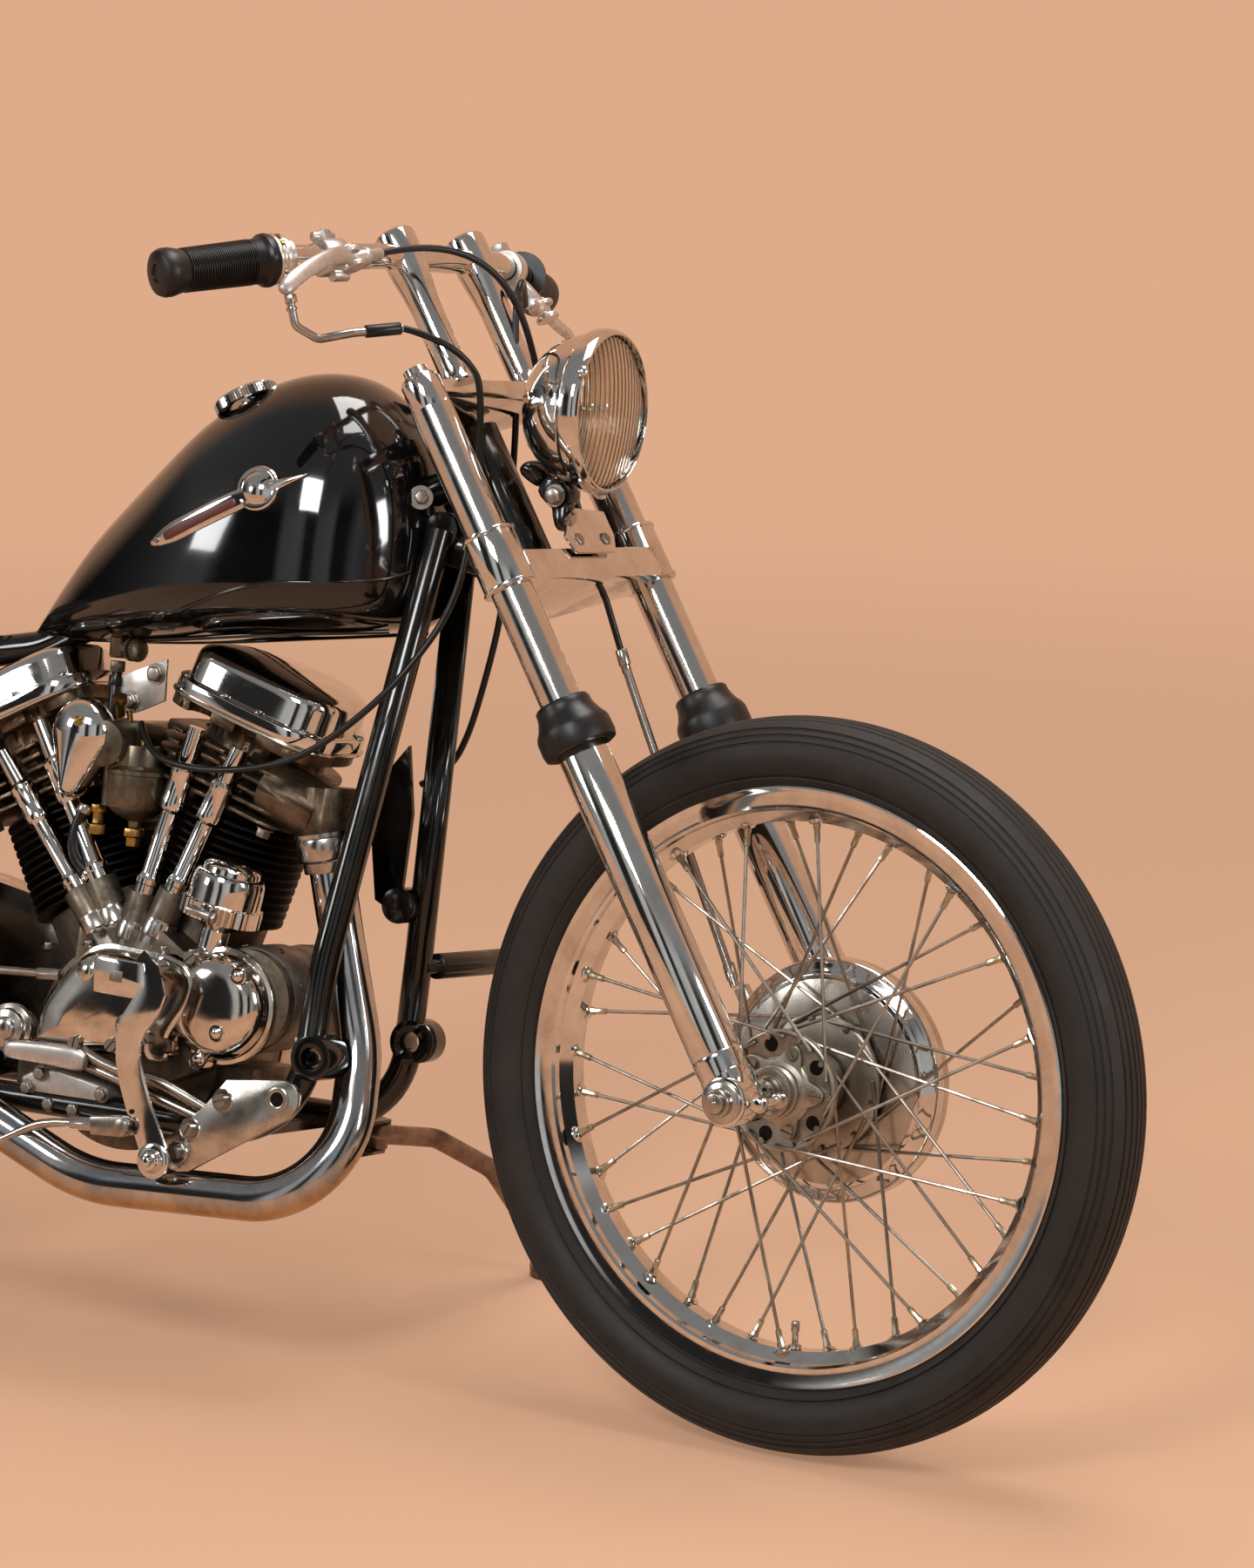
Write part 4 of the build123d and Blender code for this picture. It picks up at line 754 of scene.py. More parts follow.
def dressWheel(prefix, wheel, place):
    tyre = moved(turned(prefix + "Tyre", tyreSection(wheel), 180), onAxle)
    settle(tyre, prefix, "tyre_rubber", place, prefix.replace("wheel", "tyre"), angle=28)
    rim = moved(turned(prefix + "Rim", rimSection(wheel), 144), onAxle)
    seats = lacedSpokes(prefix + "Spokes", wheel, place, prefix, prefix.replace("wheel", "spokes"))
    rim = joined(prefix + "Rim", [rim, seats])
    settle(rim, prefix, "chrome", place, prefix.replace("wheel", "rim"))
    stem = turned(prefix + "ValveStem", [(0, 0), (6.5, 0), (6.5, 3), (3.2, 4), (3.2, 16), (4.2, 16), (4.2, 24),
        (3.2, 26), (0, 26)], 14, 0.3)
    at = Vector((wheel["rimInner"] * math.cos(math.radians(wheel["valve"])), 0,
        wheel["rimInner"] * math.sin(math.radians(wheel["valve"]))))
    settle(moved(stem, standing(at, -at)), prefix, "polishedSteel", place, slot="bare_steel")


frontHub = {"star": (30.0, 47.0), "screwRing": 39.0}      # mm


def starOutline(low, high, points, steps=60):
    # a five-lobed plate with rounded tips
    rows = []
    for index in range(steps):
        angle = 2 * math.pi * index / steps
        lobe = (0.5 + 0.5 * math.cos(points * angle)) ** 1.6
        rows.append(((low + (high - low) * lobe) * math.cos(angle), (low + (high - low) * lobe) * math.sin(angle)))
    return rows


def dressFrontHub():
    h = frontHub
    # Z of these turned pieces runs to the machine's left; the right end is negative
    capRings = turned("hubCap", [(9.6, -70), (15, -70), (15, -67.5), (18.5, -67.5), (18.5, -70), (24, -70), (24, -63),
        (21.5, -62), (21.5, -60), (25.5, -59), (25.5, -54), (23, -53), (23, -49), (33, -46), (33, 20), (9.6, 20)], 72,
        0.5)
    flange = turned("hubFlangeRight", [(20, -44), (52, -44), (55.5, -46.5), (58, -45.6), (58, -38.4), (55.5, -37.6),
        (52, -38), (20, -38)], 96, 0.4)
    flangeLeft = turned("hubFlangeLeft", [(20, 24), (64, 24), (67, 25.5), (67, 29.5), (64, 30), (44, 30), (40, 37),
        (20, 40)], 96, 0.4)
    star = plate("hubStar", starOutline(*h["star"], 5), -47.6, -44, 0.9)
    screws = copied(screwMaster(head=6.2, rise=4.2),
        *[Matrix.Translation((h["screwRing"] * math.cos(a), h["screwRing"] * math.sin(a), -47.2))
        @ Matrix.Rotation(math.pi, 4, "X") @ Matrix.Rotation(a * 2.3, 4, "Z") for a in [2 * math.pi * i / 5
        for i in range(5)]])
    notch = [Matrix.Rotation(math.radians(40 + 120 * i), 4, "Z") @ Matrix.Translation((22.2, 0, -56.5))
        for i in range(3)]
    studs = copied(turned("hubStud", [(0, -2.5), (3.4, -2.5), (3.4, 2.5), (0, 2.5)], 6, 0.3), *notch)
    hub = joined("frontHubBody", [moved(p, onAxle) for p in [capRings, flange, flangeLeft, star] + screws + studs])
    settle(hub, "front_wheel", "hubAluminium", frontWheelMatrix, "front_hub", slot="polished_aluminium")
    # the lightening holes are not cut: thin black discs on the flange paint the shade inside them
    holeShadeDiscs = copied(turned("hubHoleShade", [(0, -44.25), (7.2, -44.25), (7.2, -43.6), (0, -43.6)], 24), *[
        Matrix.Rotation(math.radians(36 + 72 * i), 4, "Z") @ Matrix.Translation((44.5, 0, 0)) for i in range(5)])
    settle(moved(joined("frontHubHoleShade", holeShadeDiscs), onAxle), "front_wheel", "black_iron", frontWheelMatrix,
        slot="polished_aluminium")
    rimRows = [(60, 42), (98, 40), (103, 40.4), (106, 43), (109, 43.6), (111.5, 46), (114, 46.6), (117, 49),
        (118, 52), (118, 60), (112, 60), (112, 54), (100, 48), (60, 48)]
    drum = moved(turned("frontDrumRim", rimRows, 128, 0.4), onAxle)
    settle(drum, "front_wheel", "chrome", frontWheelMatrix, slot="chrome")
    face = moved(turned("frontDrumFace", [(30, 36.5), (64, 38.5), (98.5, 39.6), (98.5, 42), (30, 42)], 96, 0.3),
        onAxle)
    settle(face, "front_wheel", "drumAluminium", frontWheelMatrix, slot="polished_aluminium")


finishes["hubAluminium"] = castMetal("aluminiumDieCastTumbled", "#A8A195", "#746C60", (0.26, 0.46), 1.4, 0.04)
finishes["nippleSteel"] = aluminiumPolished("brassNickelPlated", "#B5AB99", "#7C7263", (0.2, 0.4))
finishes["drumAluminium"] = aluminiumPolished("aluminiumSpunDull", "#B4AEA6", "#9E978D", (0.24, 0.36))
dressWheel("front_wheel", frontWheel, frontWheelMatrix)
dressFrontHub()
dressWheel("rear_wheel", rearWheel, rearWheelMatrix)
print("wheels laced")

# fork, bars and lamp
def skinned(name, sections, subdivide=0):
    # a closed skin over equal rings of points, first and last rings capped
    around = len(sections[0])
    piece = ringPiece(name, around, "NGON")
    edit(piece)
    bpy.ops.mesh.select_all(action="SELECT")
    for _ in sections[1:]:
        bpy.ops.mesh.extrude_region_move(TRANSFORM_OT_translate={"value": (0, 0, 1)})
    leaveEdit()
    start = math.atan2(piece.data.vertices[0].co.y, piece.data.vertices[0].co.x)
    for v in piece.data.vertices:
        ring = round(v.co.z)
        index = round((math.atan2(v.co.y, v.co.x) - start) / (2 * math.pi) * around) % around
        v.co = sections[ring][index]
    edit(piece)
    faceOutward()
    if subdivide:
        rounding = piece.modifiers.new("round", "SUBSURF")
        rounding.levels = rounding.render_levels = subdivide
        applyAll(piece)
    return piece


def ovalRing(centre, side, up, around=16, squareness=2.0):
    # points of a superellipse; a squareness of 2 is an ellipse
    ring = []
    for index in range(around):
        a = 2 * math.pi * index / around
        c, s = math.cos(a), math.sin(a)
        ring.append(Vector(centre) + Vector(side) * math.copysign(abs(c) ** (2 / squareness), c)
                    + Vector(up) * math.copysign(abs(s) ** (2 / squareness), s))
    return ring


def bladeAlong(name, rows, up=(0, 0, 1), around=16, squareness=2.6, subdivide=1):
    # rows of (point, half width along up, half thickness across up and the run)
    rings = []
    for index, (at, wide, thick) in enumerate(rows):
        before, after = Vector(rows[max(index - 1, 0)][0]), Vector(rows[min(index + 1, len(rows) - 1)][0])
        way = (after - before).normalized()
        side = way.cross(Vector(up)).normalized()
        rings.append(ovalRing(at, side * thick, side.cross(way).normalized() * wide, around, squareness))
    return skinned(name, rings, subdivide)


mirrorY = Matrix.Scale(-1, 4, (0, 1, 0))


def withTwin(right):
    # a right-hand piece and its mirror twin
    left = copied(right, Matrix.Identity(4), Matrix.Identity(4))[1]
    return [right, moved(left, mirrorY)]


def rightFoot():
    # a chromed slider with its axle lug, clamp ears and bolt; on the right at y = -128
    y = -fork["legY"]
    tube = moved(turned("sliderTube", [(21, 40), (24.2, 24), (25.2, 40), (25.2, 44), (24.6, 45), (25, 46), (25, 366),
        (24.2, 367.5), (21, 367.5)], 72), Matrix.Translation((0, y, 0)))
    lug = rodBetween("axleLug", (0, y - 25, 0), (0, y + 25, 0), 23.5, 56, 2.2)
    web = skinned("sliderFoot", [ovalRing((0, y, 0), (22, 0, 0), (0, 22, 0), 24, 3.2),
        ovalRing((1, y, 18), (24, 0, 0), (0, 23.5, 0), 24, 3.0), ovalRing((0, y, 34), (25.3, 0, 0), (0, 25.3, 0), 24,
        2.2)], 1)
    ears = [bladeAlong("clampEar", [((20, at, -17), 7, 5), ((30, at, -17), 7, 5), ((37, at, -16), 6, 4)], (0, 1, 0))
            for at in (y - 13, y + 13)]
    bolt = rodBetween("clampBolt", (31, y - 24, -17), (31, y + 24, -17), 4.2, 16)
    nuts = [moved(boltMaster(across=7, rise=rise, washer=8), standing((31, y + side * 18, -17), (0, side, 0)))
            for side, rise in ((-1, 7), (1, 6))]
    return joined("sliderRight", [tube, lug, web, *ears, bolt, *nuts])


fork = {"legY": 128.0, "lowerTree": (529.0, 588.0)}
sliders = joined("forkSliders", withTwin(rightFoot()))
settle(sliders, "fork", "chrome", node="fork_sliders")
tubes = joined("forkTubes", withTwin(moved(turned("forkTube", [(14, 340), (20.5, 340), (20.5, 722), (13, 724),
    (13, 751), (10, 751)], 72), Matrix.Translation((0, -fork["legY"], 0)))))
settle(tubes, "fork", "chromeWorn", node="fork_tubes")
bootRows = [(21, 372), (25.4, 372), (25.4, 361.5), (31, 360.5), (35.6, 362.5), (36.8, 368), (36.6, 381),
    (35.2, 385.5), (31.6, 391), (28.6, 398), (27.4, 403), (27.2, 407.5), (25.6, 409.6), (21, 410)]
boots = joined("forkBoots", withTwin(moved(turned("forkBoot", bootRows, 72),
    Matrix.Translation((0, -fork["legY"], 0)))))
settle(boots, "fork", "grip_rubber", node="fork_boots", angle=50)
refined("lower_tree", "chrome", 1.0)
refined("top_tree", "chrome", 1.0)

# beads and seams on the two bridges' collars
beadRows = [(25.6, 0), (26.8, 0.6), (27.2, 2), (26.8, 3.4), (25.6, 4)]
beads = []
for z in (fork["lowerTree"][0] + 0.5, fork["lowerTree"][1] - 4.5):
    for side in (-1, 1):
        beads.append(moved(turned("collarBead", [(20.8, 0)] + beadRows + [(20.8, 4)], 64),
            Matrix.Translation((0, side * fork["legY"], z))))
settle(joined("collarBeads", beads), "fork", "chrome", slot="chrome")
bridgeBolts = copied(boltMaster(across=7, rise=6, washer=9), *[standing(at, (1, 0, 0)) for at in
                     ((26.6, -24, 566), (26.6, 24, 566))])
stemCap = turned("stemCap", [(0, 0), (17, 0), (17, 4), (12, 5), (12, 12), (10, 14), (0, 14)], 6, 0.8)
bridgeBolts.append(moved(stemCap, Matrix.Translation((-45.1, 0, 762))))
settle(joined("bridgeBolts", bridgeBolts), "fork", "bare_steel", slot="bare_steel")

frontEnds = []
for side in (-1, 1):
    frontEnds.append(rodBetween("axleStub", (0, side * 60, 0), (0, side * 170, 0), 9.5, 40, 1.2))
    ring = turned("axleRing", [(9.5, 0), (19, 0), (20.5, 1.2), (20.5, 3), (18, 4.4), (13.5, 4.8), (13.5, 12),
        (12.4, 13.4), (9.5, 13.4)], 48, 0.3)
    frontEnds.append(moved(ring, standing((0, side * 153, 0), (0, side, 0))))
    frontEnds.append(moved(turned("axleDrill", [(0, 0), (3.4, 0), (2.2, 1.0), (0, 1.2)], 20),
        standing((0, side * 169.4, 0), (0, side, 0))))
frontEnds.append(rodBetween("axleSpacer", (0, -103, 0), (0, -70.3, 0), 15.0, 40, 0.8))
frontEnds.append(moved(turned("leftNut", [(9.5, 0), (17, 0), (17, 12), (9.5, 12)], 6, 0.8),
    standing((0, 157.6, 0), (0, 1, 0))))
settle(joined("frontAxleFittings", frontEnds), "fork", "polishedSteel", node="front_axle")
refined("front_brake_plate", "polished_aluminium", 1.0)

riserRows = [(0, 748), (21, 748), (21, 750.4), (17.4, 752), (15.6, 756), (15, 764), (15, 822), (15.5, 838),
    (16.8, 852), (18.8, 866), (20, 878), (20.4, 886), (20.4, 908), (19.6, 913), (17, 915.4), (0, 916)]
risers = joined("barRisers", [moved(turned("riser", riserRows, 64), Matrix.Translation((1, side * 62, 0)))
    for side in (-1, 1)])
settle(risers, "fork", "chrome", node="risers", angle=30)
barRoute = [(-92, -327, 913), (-36, -205, 903), (1, -98, 889), (1, 0, 889)]
halfBar = bentTube("handlebar", barRoute, [60, 60], 12.7, 32)
settle(joined("handlebar", withTwin(halfBar)), "fork", "chrome", node="handlebar")

grips = {"start": (-45.15, -224.94, 904.63), "end": (-94.5, -332.44, 913.45), "ribs": 30, "radius": 20.6}


def ribbedGrip(name):
    # outer end at 0: a rounded bulb with a plug, then a ribbed sleeve and an inner flange
    length = (Vector(grips["end"]) - Vector(grips["start"])).length
    rows = [(0, 1.5), (8, 1.5), (9, -0.5), (17, -0.2), (21.4, 2), (23.4, 6.5), (23.4, 13), (22, 19), (20.6, 25)]
    pitch = (length - 46) / grips["ribs"]
    for index in range(grips["ribs"]):
        base, low = 28 + index * pitch, grips["radius"] + 0.8 * index / grips["ribs"]
        rows += [(low - 0.9, base), (low + 0.7, base + pitch * 0.25), (low + 0.7, base + pitch * 0.6),
            (low - 0.9, base + pitch * 0.85)]
    rows += [(21.6, length - 16), (22, length - 9), (23.6, length - 6), (25.4, length - 4), (26, length),
        (25.4, length + 2.2), (13.2, length + 2.4), (13.2, length - 3), (0, length - 3)]
    piece = turned(name, rows, 56)
    way = Vector(grips["start"]) - Vector(grips["end"])
    return moved(piece, standing(grips["end"], way))


settle(joined("grips", withTwin(ribbedGrip("gripRight"))), "fork", "grip_rubber", node="grips", angle=30)

barWay = (Vector(barRoute[1]) - Vector(barRoute[2])).normalized()
gripWay = (Vector(grips["end"]) - Vector(grips["start"])).normalized()
throttleAt = Vector(grips["start"]) - gripWay * 4
drum = turned("throttleDrum", [(13, 0), (23, 0), (24.4, 1), (24.4, 4), (21, 5), (21, 9), (22.5, 9.5), (22.5, 15),
    (18, 16.5), (19, 21), (13, 21)], 48, 0.3)
drum = moved(drum, standing(throttleAt, -gripWay))
settle(drum, "fork", "castAluminiumBright", slot="cast_aluminium")
drumScrews = copied(screwMaster(head=2.6, rise=2.0),
    *[standing(throttleAt - gripWay * 7 + Matrix.Rotation(a, 3, gripWay)
    @ Vector((0, 0, 1)).cross(gripWay).normalized() * 22.8, Matrix.Rotation(a, 3, gripWay)
    @ Vector((0, 0, 1)).cross(gripWay).normalized()) for a in (0.3, 0.75, 1.2)])
settle(joined("throttleScrews", drumScrews), "fork", "brass", slot="bare_steel")


def leverSet(name, at, pivot, rows, side):
    # split clamp round the bar, forked perch and a cast blade with a rounded tip
    way = Vector((barWay.x, barWay.y * -side, barWay.z))
    at, pivot = Vector(at), Vector(pivot)
    clamp = moved(turned("perchClamp", [(12.8, -13), (17.5, -13), (18.6, -11.8), (18.6, 11.8), (17.5, 13),
        (12.8, 13)], 40), standing(at, way))
    arm = bladeAlong("perchArm", [(at + (pivot - at) * 0.25, 12, 8), (at + (pivot - at) * 0.6, 9, 7), (pivot, 9, 8)],
        way)
    jaws = [moved(turned("perchJaw", [(0, 0), (11, 0), (12, 1), (12, 4), (11, 5), (0, 5)], 32),
        Matrix.Translation(pivot + Vector((0, 0, z)))) for z in (-10, 5)]
    barrelEnd = pivot - Vector((0, side, 0)) * 36 + Vector((8, 0, 3))
    barrel = moved(turned("cableBarrel", [(0, 0), (6.5, 0), (7.5, 1), (7.5, 16), (9, 17), (9, 22), (6, 26), (6, 40),
        (0, 40)], 28, 0.4), standing(pivot, barrelEnd - pivot))
    blade = bladeAlong("leverBlade", rows, (0, 0, 1))
    pin = moved(boltMaster("pivotScrew", 6.2, 3.4, 7.6), Matrix.Translation(pivot + Vector((0, 0, 10))))
    lid = moved(turned("clampBlock", [(0, 0), (8.5, 0), (9.5, 1), (9.5, 11), (8.5, 12), (0, 12)], 4, 1.6),
        standing(at + Vector((2, 0, 15)), (0, 0, 1), 0.785))
    lidPin = rodBetween("clampScrew", at + Vector((2, 0, 22)) - way * 12, at + Vector((2, 0, 22)) + way * 12, 4.6, 20,
        0.5)
    under = rodBetween("clampScrewLow", at + Vector((2, 0, -20)) - way * 9, at + Vector((2, 0, -20)) + way * 9, 6.5,
        20, 0.8)
    return joined(name, [clamp, arm, *jaws, barrel, blade, pin, lid, lidPin, under])


rightRows = [((22, -196, 867), 9, 5), ((34, -212, 865), 9.5, 5.4), ((43, -235, 862), 9, 5),
    ((48, -262, 857), 8.4, 4.8), ((44, -292, 849), 8, 4.8), ((36, -317, 840), 8.2, 5), ((29, -331, 832), 8.6, 5.6),
    ((26, -338, 826), 6, 4.4)]
leftRows = [((0, 164, 845), 9, 5), ((-12, 180, 842), 9.5, 5.4), ((-22, 205, 840), 9, 5), ((-32, 232, 839), 8.4, 4.8),
    ((-44, 262, 841), 8, 4.8), ((-56, 288, 845), 8.2, 5), ((-62, 300, 846), 6.5, 5)]
perchRight = leverSet("leverRight", (-19, -157, 896), (30, -205, 865), rightRows, -1)
perchLeft = leverSet("leverLeft", (-19, 157, 896), (-8, 172, 842), leftRows, 1)
settle(joined("handLevers", [perchRight, perchLeft]), "fork", "castAluminiumBright", node="hand_levers", angle=45)

# throttle elbow: a bent tube with nuts, below the drum
elbow = bentTube("throttleElbow", [(-38, -215, 882), (-51, -213, 838), (-44, -196, 820), (-21.5, -170, 815.5),
    (7, -130, 806)], [10, 14, 10], 4.2, 16)
nuts = [moved(turned("elbowNut", [(0, 0), (r, 0), (r, l), (0, l)], 6 if six else 20, 0.5), standing(at, way))
    for at, way, r, l, six in (((-36, -215, 884), (-0.28, 0.05, -1), 8.5, 10, False),
    ((-42, -214.3, 866), (-0.28, 0.05, -1), 6.4, 8, True), ((-46, -214, 855), (-0.28, 0.05, -1), 5.4, 3, False))]
settle(joined("throttleElbow", [elbow] + nuts), "fork", "polishedSteel", slot="bare_steel")
sleeve = rodBetween("throttleSleeve", (-14, -160, 813), (6, -131, 806.5), 6.2, 18, 0.6)
settle(sleeve, "fork", "cable_sheath", slot="cable_sheath")

# headlamp, along the upright machine's X
lamp = {"at": (1500 - 260.3, 0, 354.0 + 620.2), "askew": 5.0}
lampMatrix = (steeredMatrix @ Matrix.Translation(lamp["at"]) @ Matrix.Rotation(math.radians(lamp["askew"]), 4, "Z")
              @ Matrix.Rotation(math.radians(90), 4, "Y"))
bucket = turned("lampBucket", [(0, -84), (16, -83.4), (34, -79), (50, -70.5), (61, -59), (68.5, -46), (73, -32),
    (74.5, -24), (75.2, -20), (76.6, -18.6), (79, -17), (79.8, -12), (79.6, -5), (78.4, -1), (76.2, 1.8), (74.2, 2.2),
    (73.4, 0), (73.4, -9), (70, -11), (60, -12), (60, -16), (0, -30)], 96)
knob = moved(turned("rimKnob", [(0, 0), (3.2, 0), (3.2, 5), (5.0, 6), (5.0, 9), (3.5, 10.5), (0, 11)], 16),
    standing((-36, -68, 1), (-0.35, -0.75, 0.5)))
clampTab = bladeAlong("rimTab", [((74, 0, -14), 7, 3), ((82, 0, -10), 7, 3), ((82, 0, 0), 6, 3)], (0, 1, 0))
settle(joined("headlampShell", [bucket, knob, clampTab]), "fork", "chrome", lampMatrix, "headlamp_shell", angle=40)
reflector = turned("lampReflector", [(0, -27), (12, -26), (30, -22), (46, -17), (60, -12.4), (71, -9.4), (71, -8.6),
    (60, -11.6), (46, -16), (30, -21), (12, -25), (0, -26)], 72)
settle(reflector, "fork", "mirrorSilvered", lampMatrix, slot="chrome")
bulbBody = turned("lampBulb", [(0, -25), (7, -25), (7, -18), (9, -16), (9, -11), (5, -6.5), (0, -5.4)], 24)
settle(bulbBody, "fork", "mirrorSilvered", lampMatrix, slot="chrome")
lensRows = [(0, 9.5), (16, 9.1), (32, 7.6), (48, 5.0), (62, 1.6), (70, -1.4), (73.0, -4.4), (73.0, -7), (70, -4.4),
    (62, -1.2), (48, 2.2), (32, 4.8), (16, 6.3), (0, 6.7)]
lens = turned("headlampLens", lensRows, 96)
settle(lens, "fork", "lens_glass", lampMatrix, "headlamp_lens", angle=60)

# lamp stirrup: black strap and bolt over a bent chromed plate
strap = [bladeAlong("lampStrap", [((12, y, 640), 13, 2.4), ((19, y, 622), 13, 2.4), ((22, y, 610), 12, 2.4)],
    (1, 0, 0.3)) for y in (-11, 11)]
knuckle = rodBetween("lampKnuckle", (20.5, -8, 618.7), (20.5, 8, 618.7), 14.5, 36, 1.0)
belly = bladeAlong("lampSaddle", [((0, 0, 664), 24, 9), ((6, 0, 650), 19, 10), ((12, 0, 636), 13, 9)], (0, 1, 0))
arm = bladeAlong("lampArm", [((20.5, 0, 619), 9, 12), ((12, 0, 600), 12, 10), ((10, -2, 584), 14, 8)], (0, 1, 0))
settle(joined("lampStirrup", strap + [knuckle, belly, arm]), "fork", "satinBlack", slot="gloss_black", angle=40)
lampBolt = copied(boltMaster(across=9, rise=7, washer=11), standing((20.5, -13.4, 618.7), rightward),
    standing((20.5, 13.4, 618.7), (0, 1, 0)))
settle(joined("lampBolts", lampBolt), "fork", "bare_steel", slot="bare_steel")
plateOut = [(-34, 0), (34, 0), (44, 18), (44, 44), (-6, 48), (-26, 40), (-44, 18)]
bracket = plate("lampPlate", plateOut, 0, 4, 1.0)
bracket = moved(bracket, Matrix.Translation((27, 0, 552)) @ Matrix(((0, 0, 1, 0), (1, 0, 0, 0), (0, 1, 0, 0),
    (0, 0, 0, 1))))
settle(bracket, "fork", "chrome", slot="chrome")
print("front end ready")

# fuel tank
def onCurve(four, t):
    # the smooth curve through four rows, at share t between the middle two
    return [0.5 * (2 * b + (c - a) * t + (2 * a - 5 * b + 4 * c - d) * t * t + (3 * b - a - 3 * c + d) * t ** 3)
            for a, b, c, d in zip(*four)]


def blended(rows, steps):
    # smooth rows between the given ones
    out = []
    for index in range(len(rows) - 1):
        four = [rows[max(index - 1, 0)], rows[index], rows[index + 1], rows[min(index + 2, len(rows) - 1)]]
        for step in range(steps):
            out.append(tuple(onCurve(four, step / steps)))
    return out + [rows[-1]]


def knurl(piece, atLeast, depth, count):
    # every second rib of the widest band is pressed in
    for v in piece.data.vertices:
        radius = math.hypot(v.co.x, v.co.y)
        if radius > atLeast and round(math.atan2(v.co.y, v.co.x) / (2 * math.pi) * count) % 2:
            v.co.x, v.co.y = v.co.x * (radius - depth) / radius, v.co.y * (radius - depth) / radius
    return piece


tank = {    # stations: x, floor, top, half width, height of the widest line
    "stations": [
        (614, 704, 711, 22, 707), (628, 703, 733, 34, 712), (654, 703, 770, 52, 722), (692, 704, 819, 74, 736),
        (751, 709, 880, 102, 754), (807, 715, 936, 122, 770), (850, 722, 966, 131, 778), (890, 727, 984, 134, 784),
        (926, 730, 991, 133, 787), (960, 734, 988, 129, 790), (991, 738, 973, 119, 793), (1016, 742, 950, 101, 796),
        (1036, 748, 920, 78, 801), (1048, 757, 888, 56, 806), (1056, 770, 858, 34, 812), (1058, 790, 836, 17, 815)],
    "crown": 2.25, "belly": 2.7, "around": 72,
}
tankRows = blended(tank["stations"], 5)


def tankRing(row):
    x, floor, top, half, waist = row
    ring = []
    for index in range(tank["around"]):
        a = 2 * math.pi * index / tank["around"]
        c, s = math.cos(a), math.sin(a)
        power = tank["crown"] if s > 0 else tank["belly"]
        rise = (top - waist) if s > 0 else (waist - floor)
        ring.append(Vector((x, half * math.copysign(abs(c) ** (2 / power), c),
            waist + rise * math.copysign(abs(s) ** (2 / power), s))))
    return ring


def tankSide(x, z):
    # half width of the tank at a place on its side
    for before, after in zip(tankRows, tankRows[1:]):
        if before[0] <= x <= after[0]:
            share = (x - before[0]) / (after[0] - before[0])
            _, floor, top, half, waist = [b + (a - b) * share for a, b in zip(after, before)]
            rise, power = (top - waist, tank["crown"]) if z > waist else (waist - floor, tank["belly"])
            return half * max(0.0, 1 - abs((z - waist) / rise) ** power) ** (1 / power)
    return 0.0


def onTank(x, z, out=0.0, side=-1):
    # a place on the tank's side, and the way its surface faces
    y = tankSide(x, z)
    along = Vector((2, tankSide(x + 1, z) - tankSide(x - 1, z), 0))
    above = Vector((0, tankSide(x, z + 1) - tankSide(x, z - 1), 2))
    away = above.cross(along).normalized() if above.cross(along).y > 0 else along.cross(above).normalized()
    place = Vector((x, y, z)) + away * out
    return Vector((place.x, place.y * side, place.z)), Vector((away.x, away.y * side, away.z))


tankShell = skinned("fuelTank", [tankRing(row) for row in tankRows])
seams = []
for side in (-1, 1):
    line = [onTank(x, z, 0.2, side)[0] for x, z in ((842, 747), (868, 757), (900, 770), (935, 780), (965, 784),
        (1000, 786), (1028, 790), (1044, 796), (1052, 803))]
    seams.append(tubeAlong("tankSeam", line, 2.2, 12, 6))
floorFlange = [tubeAlong("tankFlange", [(x, side * f, z) for x, f, z in ((650, 16, 704), (700, 34, 705),
    (790, 60, 713), (880, 74, 726), (960, 70, 735), (1030, 38, 743))], 2.6, 12, 6) for side in (-1, 1)]
tunnel = tubeAlong("tankTunnel", [(640, 0, 716), (700, 0, 718), (1036, 0, 756)], 8, 16, 4)
settle(joined("fuelTank", [tankShell, tunnel] + seams + floorFlange), "frame", "gloss_black", node="fuel_tank",
    angle=40)

capRows = [(0, -20), (22, -20), (22, 0), (31, 0.4), (33.2, 1.6), (33.2, 10.4), (31.4, 12.4), (30, 13), (27, 13),
    (26.2, 11.6), (24.6, 11.4), (23.4, 13.4), (20, 15.4), (12, 17), (0, 17.6)]
tankCap = knurl(turned("tankCap", capRows, 144), 33.0, 1.1, 144)
caps = joined("tankCaps", copied(tankCap, *[Matrix.Translation((855, side * 46, 952))
    @ Matrix.Rotation(math.radians(-31), 4, "Y") for side in (-1, 1)]))
settle(caps, "frame", "chrome", node="tank_caps", angle=30)

